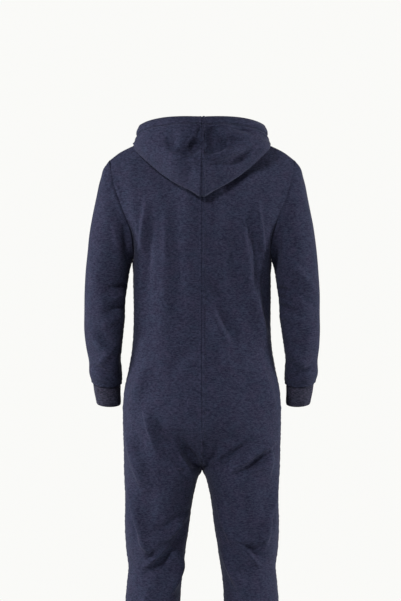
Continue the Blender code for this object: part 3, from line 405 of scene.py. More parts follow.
@dataclass(frozen=True)
class PlainFinish:
    """A finish of one tone with a fine grain: thread, woven tape or metal."""

    name: str
    colour: Colour
    roughness: float
    metallic: float = 0.0
    grain: float = 900.0
    relief: float = 0.0001
    bump: float = 0.4
    variation: float = 0.18
    pale_lift: float = 0.004
    polish: float = 0.06
    wear: float = 0.08
    wear_size: float = 12.0

    def build(self) -> bpy.types.Material:
        """Makes the material.

        Returns:
            The finished material.
        """
        material = bpy.data.materials.new(self.name)
        material.use_nodes = True
        s = Shader(material.node_tree)
        skin = material.node_tree.nodes["Principled BSDF"]
        place = s.add("ShaderNodeTexCoord")
        fine = s.noise(place.outputs["Object"], Pattern(self.grain, detail=3.0, rough=0.6))
        worn = s.noise(place.outputs["Object"], Pattern(self.grain / self.wear_size))
        pale = tuple(min(1.0, part * (1 + self.variation) + self.pale_lift) for part in self.colour)
        deep = tuple(part * (1 - self.variation) for part in self.colour)
        tone = s.blend(s.remap(fine, *GRAIN_WINDOW), (*deep, 1), (*pale, 1))
        s.feed(tone, skin.inputs["Base Color"])
        polished, dulled = self.roughness - self.polish, min(1.0, self.roughness + self.wear)
        s.feed(s.remap(worn, *WEAR_WINDOW, polished, dulled), skin.inputs["Roughness"])
        skin.inputs["Metallic"].default_value = self.metallic
        bump = s.add("ShaderNodeBump")
        bump.inputs["Strength"].default_value = self.bump
        bump.inputs["Distance"].default_value = self.relief
        s.feed(fine, bump.inputs["Height"])
        s.feed(bump.outputs["Normal"], skin.inputs["Normal"])
        return material


# ---------------------------------------------------------------------------------------------
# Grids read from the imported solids
# ---------------------------------------------------------------------------------------------


def hermite(
    start: np.ndarray, start_pull: np.ndarray, end: np.ndarray, end_pull: np.ndarray, t: np.ndarray
) -> np.ndarray:
    """A cubic from start to end that leaves and arrives along the two pulls."""
    square, cube = t * t, t * t * t
    return (
        (2 * cube - 3 * square + 1) * start + (cube - 2 * square + t) * start_pull
        + (3 * square - 2 * cube) * end + (cube - square) * end_pull
    )


def smooth_step(share: np.ndarray) -> np.ndarray:
    """0 to 1 with a flat start and end."""
    share = np.clip(share, 0.0, 1.0)
    return share * share * (3 - 2 * share)


def unit(vectors: np.ndarray) -> np.ndarray:
    """Vectors of length 1 along the last axis."""
    return vectors / np.maximum(np.linalg.norm(vectors, axis=-1, keepdims=True), TINY)


def spline(
    points: np.ndarray, at: np.ndarray, closed: bool = False, corners: Iterable[int] = ()
) -> np.ndarray:
    """A smooth curve through equally numbered points, along their first axis.

    Args:
        points: the points, any shape after the first axis.
        at: where to read it, counted in points.
        closed: whether the last point runs on to the first.
        corners: points where the curve may turn sharply.

    Returns:
        The curve's points, one for each value of at.
    """
    count = len(points)
    if closed:
        after, before = np.roll(points, -1, axis=0), np.roll(points, 1, axis=0)
        low = np.floor(at).astype(int) % count
        high = (low + 1) % count
        leave = (after - before) / 2
        arrive = leave.copy()
        for corner in corners:
            leave[corner] = after[corner] - points[corner]
            arrive[corner] = points[corner] - before[corner]
    else:
        low = np.clip(np.floor(at).astype(int), 0, count - 2)
        high = low + 1
        leave = np.gradient(points, axis=0)
        arrive = leave.copy()
        for corner in corners:
            if 0 < corner < count - 1:
                leave[corner] = points[corner + 1] - points[corner]
                arrive[corner] = points[corner] - points[corner - 1]
    t = (at - np.floor(at)) if closed else (at - low)
    t = t.reshape((-1,) + (1,) * (points.ndim - 1))
    return hermite(points[low], leave[low], points[high], arrive[high], t)


class SolidSkin:
    """The outside of a packed cloth wall, read back as rows and columns of points."""

    def __init__(
        self, node: str, columns: int, closed: bool, first: Callable[[np.ndarray], float], wall: float = WALL
    ) -> None:
        """Reads a node's outside.

        Args:
            node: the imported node's name.
            columns: how many columns the piece has.
            closed: whether the columns run all the way round.
            first: a measure of a point that is highest on the outside.
            wall: the wall's thickness, which is the length of every edge across its rims.
        """
        self.node = node
        self.closed = closed
        bm = bmesh.new()
        bm.from_mesh(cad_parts[node].data)
        bmesh.ops.remove_doubles(bm, verts=bm.verts, dist=SOLID_WELD)
        rims = [f for f in bm.faces if any(abs(e.calc_length() - wall) < RIM_TOLERANCE for e in f.edges)]
        bmesh.ops.delete(bm, geom=rims, context="FACES")
        bm.verts.ensure_lookup_table()
        bm.verts.index_update()
        places = np.array([v.co for v in bm.verts])
        start = bm.verts[int(np.argmax([first(p) for p in places]))]
        self.points = self._unroll(start, places, columns)
        bm.free()

    def _unroll(self, start: bmesh.types.BMVert, places: np.ndarray, columns: int) -> np.ndarray:
        """Puts the points into rows and columns.

        Args:
            start: a point on the wanted skin.
            places: every point.
            columns: how many columns the piece has.

        Returns:
            The points as rows and columns.
        """
        spot, spans, rim = self._number(start)
        numbers = np.array(list(spot.values()), float)
        cells = np.rint(np.linalg.solve(self._axes(spans, rim), numbers.T).T).astype(int)
        if self.closed:
            cells[:, 1] %= columns
        elif np.ptp(cells[:, 1]) + 1 != columns:
            cells = cells[:, ::-1]
        cells -= cells.min(axis=0)
        grid = np.full((cells[:, 0].max() + 1, columns, 3), np.nan)
        for (row, column), vertex in zip(cells, spot):
            grid[row, column] = places[vertex]
        if np.isnan(grid).any():
            raise ValueError(f"{self.node}: the skin isn't a full grid")
        return grid

    @staticmethod
    def _number(start: bmesh.types.BMVert) -> tuple[dict[int, Step], dict[Step, list[float]], set[Step]]:
        """Numbers the triangles' corners on a lattice, outwards from one of them.

        A triangle next to one that is numbered gets its third corner by the parallelogram rule.

        Args:
            start: a point on the wanted skin.

        Returns:
            Each point's number, the edge lengths of each step on the lattice, and the rim's steps.
        """
        seed = start.link_faces[0]
        a, b, c = (v.index for v in seed.verts)
        spot = {a: (0, 0), b: (0, 1), c: (1, 1)}
        done, todo = {seed.index: dict(spot)}, [seed]
        spans: dict[Step, list[float]] = {}
        rim: set[Step] = set()
        for found in todo:
            here = done[found.index]
            for edge in found.edges:
                p, q = (v.index for v in edge.verts)
                step = (here[q][0] - here[p][0], here[q][1] - here[p][1])
                step = step if step > (0, 0) else (-step[0], -step[1])
                spans.setdefault(step, []).append(edge.calc_length())
                if len(edge.link_faces) == 1:
                    rim.add(step)
                    continue
                other = next(f for f in edge.link_faces if f is not found)
                if other.index in done:
                    continue
                third = next(v.index for v in found.verts if v.index not in (p, q))
                fourth = next(v.index for v in other.verts if v.index not in (p, q))
                at = (here[p][0] + here[q][0] - here[third][0], here[p][1] + here[q][1] - here[third][1])
                done[other.index] = {p: here[p], q: here[q], fourth: at}
                spot.setdefault(fourth, at)
                todo.append(other)
        return spot, spans, rim

    def _axes(self, spans: dict[Step, list[float]], rim: set[Step]) -> np.ndarray:
        """The lattice steps down and across the piece, as columns.

        Args:
            spans: the edge lengths of each step.
            rim: the steps that run along the piece's borders.

        Returns:
            The two steps; on a tube the one down it is the shortest that isn't on its borders.
        """
        if not self.closed:
            return np.array(sorted(rim), float).T
        across = rim.pop()
        down = min((step for step in spans if step != across), key=lambda step: float(np.mean(spans[step])))
        return np.array([down, across], float).T

    def turned(
        self, top: Callable[[np.ndarray], float], centre: Callable[[np.ndarray], float]
    ) -> np.ndarray:
        """The grid with its first row and first column where the measures are highest.

        Args:
            top: measure of a point, higher on the first row than on the last.
            centre: measure of a point, higher on the first column than on the last.

        Returns:
            The points, rows first.
        """
        points = self.points
        if np.mean([top(p) for p in points[0]]) < np.mean([top(p) for p in points[-1]]):
            points = points[::-1]
        if not self.closed:
            if np.mean([centre(p) for p in points[:, 0]]) < np.mean([centre(p) for p in points[:, -1]]):
                points = points[:, ::-1]
            return points
        start = int(np.argmax([centre(p) for p in points[0]]))
        return np.roll(points, -start, axis=1)


# ---------------------------------------------------------------------------------------------
# Fine shells over the grids
# ---------------------------------------------------------------------------------------------


# a fold rises to its middle as a sine does, made fuller by a power; from this share of its length
# out to its end it keeps the height that it has there
FOLD_END = 0.05
FOLD_FULLNESS = 0.7
# how soon folds fade where the cloth turns away from the view they are drawn in
TURN_AWAY = 2.6
# hanging cloth swells less often down than across, and each way starts elsewhere in the pattern
SWELL_HEIGHT = 0.55
SWELL_START = (1.0, 0.7, -1.0)
# a reading stops this far before the count of rows or columns, just short of the last one
BEFORE_COUNT = 1.001


@dataclass(frozen=True)
class Fold:
    """A soft fold along a slightly bowed line, in the view along Y, in metres over the floor.

    A positive lift is a ridge, a negative one a trough.  lean makes one flank gentler by that
    many widths: the one towards the wearer's right when positive, towards the left when negative.
    """

    x0: float
    z0: float
    x1: float
    z1: float
    width: float
    lift: float
    bow: float = 0.0
    lean: float = 0.0

    def height(self, x: np.ndarray, z: np.ndarray) -> np.ndarray:
        """How far the fold lifts the cloth at places of the view.

        Args:
            x: places across.
            z: places above the floor.

        Returns:
            The lift at each place.
        """
        run = np.array([self.x1 - self.x0, self.z1 - self.z0])
        length = float(np.hypot(*run))
        ahead = run / length
        aside = np.array([-abs(run[1]), math.copysign(run[0], run[0] * run[1])]) / length
        dx, dz = x - self.x0, z - self.z0
        along = (dx * ahead[0] + dz * ahead[1]) / length
        inside = np.clip(along, 0, 1)
        off = dx * aside[0] + dz * aside[1] - self.bow * 4 * inside * (1 - inside)
        past = (along - inside) * length
        gentle_side = off * self.lean > 0
        off = np.where(gentle_side, off / (1 + abs(self.lean)), off)
        fade = np.sin(math.pi * np.clip(inside, FOLD_END, 1 - FOLD_END)) ** FOLD_FULLNESS
        return self.lift * fade * np.exp(-((off**2 + past**2) / self.width**2))


@dataclass(frozen=True)
class Swell:
    """The slight unevenness of hanging cloth: how far apart and how high, and where it starts."""

    size: float
    height: float
    seed: float


def lay(coarse: np.ndarray, rows: np.ndarray, columns: np.ndarray, closed: bool = False) -> np.ndarray:
    """The smooth surface through coarse points.

    Args:
        coarse: rows and columns of points.
        rows: where to read rows, counted in coarse rows.
        columns: where to read columns, counted in coarse columns.
        closed: whether the columns run all the way round.

    Returns:
        The finer rows and columns.
    """
    across = spline(np.moveaxis(spline(coarse, rows), 1, 0), columns, closed)
    return np.moveaxis(across, 0, 1).copy()


class Shell:
    """A fine grid of points over a piece's outside, with its lengths along rows and columns."""

    def __init__(self, name: str, points: np.ndarray, side: Side, closed: bool = False) -> None:
        """Takes the points over and measures them.

        Args:
            name: the piece's name.
            points: rows and columns of points; where closed, the last column repeats the first.
            side: the wearer's side it is on.
            closed: whether the columns run all the way round.
        """
        self.name, self.side, self.closed = name, side, closed
        self.points = points
        self.measure()

    def measure(self) -> None:
        """Finds each point's distance from the first row and column, and its outward direction."""
        rows = np.linalg.norm(np.diff(self.points, axis=0), axis=2)
        self.down = np.pad(np.cumsum(rows, axis=0), ((1, 0), (0, 0)))
        columns = np.linalg.norm(np.diff(self.points, axis=1), axis=2)
        self.across = np.pad(np.cumsum(columns, axis=1), ((0, 0), (1, 0)))
        self.normals = self.find_normals()

    def find_normals(self) -> np.ndarray:
        """Outward directions at every point."""
        if self.closed:
            ring = self.points[:, :-1]
            step = np.roll(ring, -1, axis=1) - np.roll(ring, 1, axis=1)
            step = np.concatenate([step, step[:, :1]], axis=1)
        else:
            step = np.gradient(self.points, axis=1)
        return unit(np.cross(unit(step), unit(np.gradient(self.points, axis=0)))) * self.side.value

    def lift(self, heights: np.ndarray) -> None:
        """Moves the points along their outward directions, and finds the directions again.

        Args:
            heights: how far each point goes.
        """
        self.points = self.points + self.normals * heights[..., None]
        if self.closed:
            self.points[:, -1] = self.points[:, 0]
        self.normals = self.find_normals()

    def fold(self, folds: Iterable[Fold], facing: Facing, free: np.ndarray) -> None:
        """Presses folds into the part of the shell that faces a way.

        Args:
            folds: the folds.
            facing: the way they are seen.
            free: from 0 at seams to 1 where the cloth moves freely.
        """
        x, z = self.points[..., 0], self.points[..., 2] - FLOOR_HEIGHT
        total = np.zeros(x.shape)
        for fold in folds:
            total += fold.height(x, z)
        self.lift(total * smooth_step(self.normals[..., 1] * facing.value * TURN_AWAY) * free)

    def ripple(self, swells: Iterable[Swell], free: np.ndarray) -> None:
        """Adds the slight unevenness of hanging cloth.

        Args:
            swells: the swells, laid one over the other.
            free: from 0 at seams to 1 where the cloth moves freely.
        """
        for swell in swells:
            flat = self.points.reshape(-1, 3) / swell.size
            offset = Vector([swell.seed * share for share in SWELL_START])
            values = [noise.noise(Vector((x, y, z * SWELL_HEIGHT)) + offset) for x, y, z in flat]
            self.lift(np.reshape(values, self.points.shape[:2]) * swell.height * free)

    def at(self, row: float, column: float) -> tuple[Vector, Vector]:
        """The place and direction between four points of the grid.

        Args:
            row: the row, with its fraction.
            column: the column, with its fraction.

        Returns:
            The place and the outward direction.
        """
        r = min(max(row, 0.0), len(self.points) - BEFORE_COUNT)
        c = min(max(column, 0.0), self.points.shape[1] - BEFORE_COUNT)
        r0, c0 = int(r), int(c)
        fr, fc = r - r0, c - c0
        found = []
        for grid in (self.points, self.normals):
            top = grid[r0, c0] * (1 - fc) + grid[r0, c0 + 1] * fc
            low = grid[r0 + 1, c0] * (1 - fc) + grid[r0 + 1, c0 + 1] * fc
            found.append(Vector(top * (1 - fr) + low * fr))
        return found[0], found[1].normalized()

    def line_beside_column(self, distance: float, last: bool, stop: int | None = None) -> ClothLine:
        """Places that run down the shell at a distance from its first or last column.

        Args:
            distance: how far from the border.
            last: whether the border is the last column.
            stop: the row to stop before.

        Returns:
            Places with their outward directions.
        """
        line = []
        for row, reach in enumerate(self.across[:stop]):
            target = reach[-1] - distance if last else distance
            line.append(self.at(row, float(np.interp(target, reach, np.arange(len(reach))))))
        return line

    def line_beside_top(self, distance: float) -> ClothLine:
        """Places that run across the shell at a distance from its first row.

        Args:
            distance: how far from the border.

        Returns:
            Places with their outward directions.
        """
        line = []
        for column, reach in enumerate(self.down.T):
            line.append(self.at(float(np.interp(distance, reach, np.arange(len(reach)))), column))
        return line

    def piece(self, materials: Sequence[bpy.types.Material], wall: float = WALL) -> bpy.types.Object:
        """Makes the object: the fine grid given its wall inwards.

        Args:
            materials: the outside's material and, if there is one, the inside's.
            wall: the cloth's thickness.

        Returns:
            The new object.
        """
        rows, columns = self.points.shape[:2]
        bm = bmesh.new()
        bmesh.ops.create_grid(bm, x_segments=columns - 1, y_segments=rows - 1, size=1.0)
        layer = bm.loops.layers.uv.new("cut")
        u, v = self.across.mean(axis=0), self.down.mean(axis=1)
        for vert in bm.verts:
            row = round((1 - vert.co.y) / 2 * (rows - 1))
            column = round((vert.co.x + 1) / 2 * (columns - 1))
            vert.co = self.points[row, column]
            for loop in vert.link_loops:
                loop[layer].uv = (u[column], v[row])
        if self.closed:
            bmesh.ops.remove_doubles(bm, verts=bm.verts, dist=WELD_DISTANCE)
        if self.side is Side.LEFT:
            bmesh.ops.reverse_faces(bm, faces=bm.faces)
        obj = mesh_object(self.name, bm, materials)
        skin = obj.modifiers.new("wall", "SOLIDIFY")
        skin.thickness = wall
        skin.offset = -1.0
        skin.use_rim = True
        if len(materials) > 1:
            skin.material_offset = 1
        return obj


def mesh_object(
    name: str, bm: bmesh.types.BMesh, materials: Sequence[bpy.types.Material]
) -> bpy.types.Object:
    """Puts a bmesh into a smooth-shaded object at the origin.

    Args:
        name: the object's name.
        bm: the mesh, freed here.
        materials: its materials.

    Returns:
        The new object.
    """
    mesh = bpy.data.meshes.new(name)
    for face in bm.faces:
        face.smooth = True
    bm.to_mesh(mesh)
    bm.free()
    for material in materials:
        mesh.materials.append(material)
    obj = bpy.data.objects.new(name, mesh)
    bpy.context.scene.collection.objects.link(obj)
    return obj


@dataclass(frozen=True)
class Mesh:
    """How finely a cloth piece is laid out: in its middle, and in a band beside its seams."""

    pitch: float = 0.0042
    fine: float = 0.0010
    band: float = 0.0100


def seamed_marks(lengths: np.ndarray, mesh: Mesh) -> np.ndarray:
    """Where to read a grid so that it is finer beside the seams at both its ends.

    Args:
        lengths: distance of each coarse row or column from the first.
        mesh: how finely the piece is laid out.

    Returns:
        Readings counted in coarse rows or columns.
    """
    total = float(lengths[-1])
    head = np.arange(0, mesh.band, mesh.fine)
    tail = total - head[::-1]
    low, high = mesh.band, total - mesh.band
    middle = np.linspace(low, high, max(2, round((high - low) / mesh.pitch) + 1))
    middle = middle[(middle > head[-1] + mesh.fine / 2) & (middle < tail[0] - mesh.fine / 2)]
    return np.interp(np.concatenate([head, middle, tail]), lengths, np.arange(len(lengths)))


def even_marks(lengths: np.ndarray, pitch: float) -> np.ndarray:
    """Where to read a grid at even distances.

    Args:
        lengths: distance of each coarse row from the first.
        pitch: about the distance between readings.

    Returns:
        Readings counted in coarse rows.
    """
    places = np.linspace(0.0, lengths[-1], round(lengths[-1] / pitch) + 1)
    return np.interp(places, lengths, np.arange(len(lengths)))


def coarse_lengths(points: np.ndarray, axis: int) -> np.ndarray:
    """Mean distance of each coarse row (0) or column (1) from the first."""
    steps = np.linalg.norm(np.diff(points, axis=axis), axis=2).mean(axis=1 - axis)
    return np.concatenate([[0.0], np.cumsum(steps)])


def eased(coarse: np.ndarray, rows: slice, columns: slice, rounds: int) -> np.ndarray:
    """Evens out a coarse grid across part of its columns.

    Args:
        coarse: rows and columns of points.
        rows: the rows to even out.
        columns: the columns that move.
        rounds: how often each goes halfway to the middle of its neighbours.

    Returns:
        The evened grid.
    """
    points = coarse.copy()
    before, after = (slice(columns.start + step, columns.stop + step) for step in (-1, 1))
    for _ in range(rounds):
        middle = (points[rows, before] + points[rows, after]) / 2
        points[rows, columns] = (points[rows, columns] + middle) / 2
    return points


def path_lengths(points: np.ndarray) -> np.ndarray:
    """Distance of each point of a line from its first, along the line."""
    return np.concatenate([[0.0], np.cumsum(np.linalg.norm(np.diff(points, axis=0), axis=1))])


def point_along(points: np.ndarray, lengths: np.ndarray, at: float) -> np.ndarray:
    """The point of a line, or the direction on it, at a distance from its first point."""
    return np.array([np.interp(at, lengths, points[:, axis]) for axis in range(3)])


def before_row(rows: np.ndarray, row: int, blend: float) -> np.ndarray:
    """1 on rows before a coarse row and 0 past it, with a short blend between."""
    return smooth_step((row + blend / 2 - rows) / blend)[:, None]


def over_the_shoulder(height: np.ndarray) -> np.ndarray:
    """How deep an armhole seam lies at heights: full on the back, faint over the shoulder."""
    share = smooth_step((SHOULDER_FADE - (height - FLOOR_HEIGHT)) / SHOULDER_SPAN)
    return SHOULDER_FAINT + (1 - SHOULDER_FAINT) * share


def gentle(distance: np.ndarray, centre: float, width: float) -> np.ndarray:
    """A soft bump over distances, 1 at its centre."""
    return np.exp(-(((distance - centre) / width) ** 2))


def soften_armhole(shell: Shell, distance: np.ndarray) -> None:
    """Brings the cloth up beside the armhole seam, where body and sleeve would meet in a sharp crease.

    Args:
        shell: the back's or the sleeve's shell.
        distance: distance of each point from the armhole seam.
    """
    height = shell.points[..., 2] - FLOOR_HEIGHT
    fill = CREASE_FILL * gentle(height, CREASE_HEIGHT, CREASE_SPAN) * np.exp(-distance / CREASE_REACH)
    way = np.array(CREASE_WAY) * (shell.side.value, 1.0, 1.0)
    behind = smooth_step(shell.normals[..., 1] * CREASE_TURN)
    shell.points = shell.points + way * (fill * behind)[..., None]


def join_centre(left: Shell, right: Shell, rows: np.ndarray) -> None:
    """Brings the centre borders of two halves together, each a hair past the middle.

    Args:
        left: the left half's shell.
        right: the right half's shell.
        rows: which rows are sewn to each other.
    """
    middle = (left.points[rows, 0] + right.points[rows, 0]) / 2
    for shell in (left, right):
        shell.points[rows, 0] = middle
        shell.points[rows, 0, 0] = -shell.side.value * SEAM_LAP
        shell.measure()


# ---------------------------------------------------------------------------------------------
# Cloth pieces
# ---------------------------------------------------------------------------------------------


# a seam's puckers: how far and how slowly their spacing sways, how slowly they come and go in
# groups, and where they lie and how wide they reach, in times of the seam's swell
PUCKER_SWAY = 1.3
PUCKER_SWAY_SHARE = 0.37
PUCKER_GROUP_SHARE = 0.23
PUCKER_AT = 1.2
PUCKER_WIDTH = 2.2
# the swell beside a seam fades in over this distance from it
SEAM_HOLD = 0.0015


@dataclass(frozen=True)
class Seam:
    """How the cloth turns in at a seam, with the allowance's ridge and any stitching beside it."""

    depth: float = 0.0009
    reach: float = 0.0016
    swell: float = 0.0009
    swell_at: float = 0.0046
    swell_width: float = 0.0028
    sunk: float = 0.0
    sunk_at: float = 0.0030
    sunk_width: float = 0.0009
    pucker: float = 0.0005
    pucker_length: float = 0.0150

    def profile(self, distance: np.ndarray, run: np.ndarray, seed: float) -> np.ndarray:
        """Height of the cloth beside a seam.

        Args:
            distance: distance from the seam.
            run: distance along the seam.
            seed: shifts the puckers.

        Returns:
            The height at each place.
        """
        turn = 2 * math.pi * run / self.pucker_length
        sway = PUCKER_SWAY * np.sin(PUCKER_SWAY_SHARE * turn + seed)
        wave = np.sin(turn + seed + sway) * np.sin(PUCKER_GROUP_SHARE * turn + 2 * seed)
        puckered = gentle(distance, self.swell_at * PUCKER_AT, self.swell_width * PUCKER_WIDTH)
        height = self.swell * gentle(distance, self.swell_at, self.swell_width)
        height -= self.sunk * gentle(distance, self.sunk_at, self.sunk_width)
        height += self.pucker * wave * puckered
        return height * smooth_step(distance / SEAM_HOLD) - self.depth * gentle(distance, 0.0, self.reach)


PLAIN_SEAM = Seam()
ARMHOLE_SEAM = Seam(depth=0.0003, reach=0.0022, swell=0.0008, swell_at=0.0066, swell_width=0.0038)
CENTRE_SEAM = Seam(
    depth=0.0007, reach=0.0011, swell=0.0005, swell_at=0.0036, swell_width=0.0020, pucker=0.0002
)
LAPPED_SEAM = Seam(
    depth=0.0007, reach=0.0011, swell=0.0010, swell_at=0.0036, swell_width=0.0026,
    sunk=0.0007, sunk_at=0.0078, sunk_width=0.0011, pucker=0.0003,
)
ZIP_SEAM = Seam(depth=0.0006, swell=0.0003, sunk=0.0004, sunk_at=0.0060, pucker=0.0004)
CUFF_SEAM = Seam(depth=0.0012, swell=0.0010, pucker=0.0012, pucker_length=0.0110)


@dataclass(frozen=True)
class Cut:
    """A piece's flat size before sewing, and its flat area."""

    width: float
    length: float
    area: float


@dataclass(frozen=True)
class Hold:
    """How far from its top and bottom seam a piece is held, so that folds fade in beyond."""

    top: float
    bottom: float

    def free(self, down: np.ndarray) -> np.ndarray:
        """How freely the cloth moves: 0 at the seams, 1 in the middle.

        Args:
            down: distance of each point from the top seam.

        Returns:
            The share at each point.
        """
        return smooth_step(down / self.top) * smooth_step((down[-1:] - down) / self.bottom)


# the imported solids' rows and columns; the girth row sets how many columns a sleeve gets
TORSO_COLUMNS = 11
NECK_COLUMNS = 4
UNDERARM_ROW = 10
CROTCH_ROW = 25
SLEEVE_COLUMNS = 20
SLEEVE_UNDER_COLUMN = 10
SLEEVE_GIRTH_ROW = 3
HOOD_COLUMNS = 25
HOOD_PER_NECK = 3
# the flat sizes
BACK_CUT = Cut(0.40, 1.44, 0.345)
FRONT_CUT = Cut(0.36, 1.40, 0.325)
SLEEVE_CUT = Cut(0.42, 0.57, 0.156)
HOOD_CUT = Cut(0.30, 0.38, 0.078)
# how finely the pieces are laid out
BACK_MESH = Mesh(pitch=0.0032)
FRONT_MESH = Mesh(pitch=0.0050)
SLEEVE_MESH = Mesh(pitch=0.0042)
HOOD_MESH = Mesh(pitch=0.0031, fine=0.0012, band=0.0300)
# where the pieces are held, and how they swell between
TORSO_HOLD = Hold(0.020, 0.012)
SLEEVE_HOLD = Hold(0.016, 0.010)
HOOD_HOLD = Hold(0.012, 0.050)
TORSO_SWELLS = (Swell(0.085, 0.0016, 3.1), Swell(0.034, 0.0006, 7.7))
SLEEVE_SWELLS = (Swell(0.070, 0.0016, 3.1), Swell(0.030, 0.0006, 7.7))
HOOD_SWELLS = (Swell(0.050, 0.0012, 5.1),)
# the back's hollow beside the hood, evened out
EASED_ROWS = slice(2, UNDERARM_ROW)
EASED_COLUMNS = slice(2, 2 * NECK_COLUMNS)
EASING_ROUNDS = 4
# over how many rows a side seam passes into the armhole, and a centre seam into the inside leg
UNDERARM_BLEND = 0.6
CROTCH_BLEND = 0.4
# how deep the neck and shoulder seams lie, in times of a plain seam
SHOULDER_SEAM_SHARE = 0.6
# each half's centre border reaches this far past the middle
SEAM_LAP = 0.00002
# the armhole seam is faint above this height, and has its full depth from a span below it
SHOULDER_FADE = 1.420
SHOULDER_SPAN = 0.05
SHOULDER_FAINT = 0.15
# the fill beside the armhole seam
CREASE_HEIGHT = 1.350
CREASE_SPAN = 0.040
CREASE_FILL = 0.0030
CREASE_REACH = 0.0085
CREASE_WAY = (0.30, 0.93, 0.20)
CREASE_TURN = 2.0
# the sleeve's top edge closes up to the armhole, with a full crown below it
SEAM_CLOSE = 0.35
CROWN_HEIGHT = 1.375
CROWN_SPAN = 0.050
CROWN_SWELL = 0.0030
CROWN_AT = 0.024
CROWN_WIDTH = 0.015
UNDERARM_FADE = 0.01
# the hood: its neck edge closes up to the neckline, and its face hem is turned in and stitched
NECK_CLOSE = 0.0003
HOOD_SEAM_SHARE = 1.3
HOOD_SEAM_FADE = 0.02
HEM_WIDTH = 0.024
HEM_STITCHES = (0.0225, 0.0252)
HEM_SUNK = 0.0034
HEM_SUNK_WIDTH = 0.0026
HEM_SWELL = 0.0020
HEM_LIP_AT = 1.25
HEM_LIP_WIDTH = 0.0034


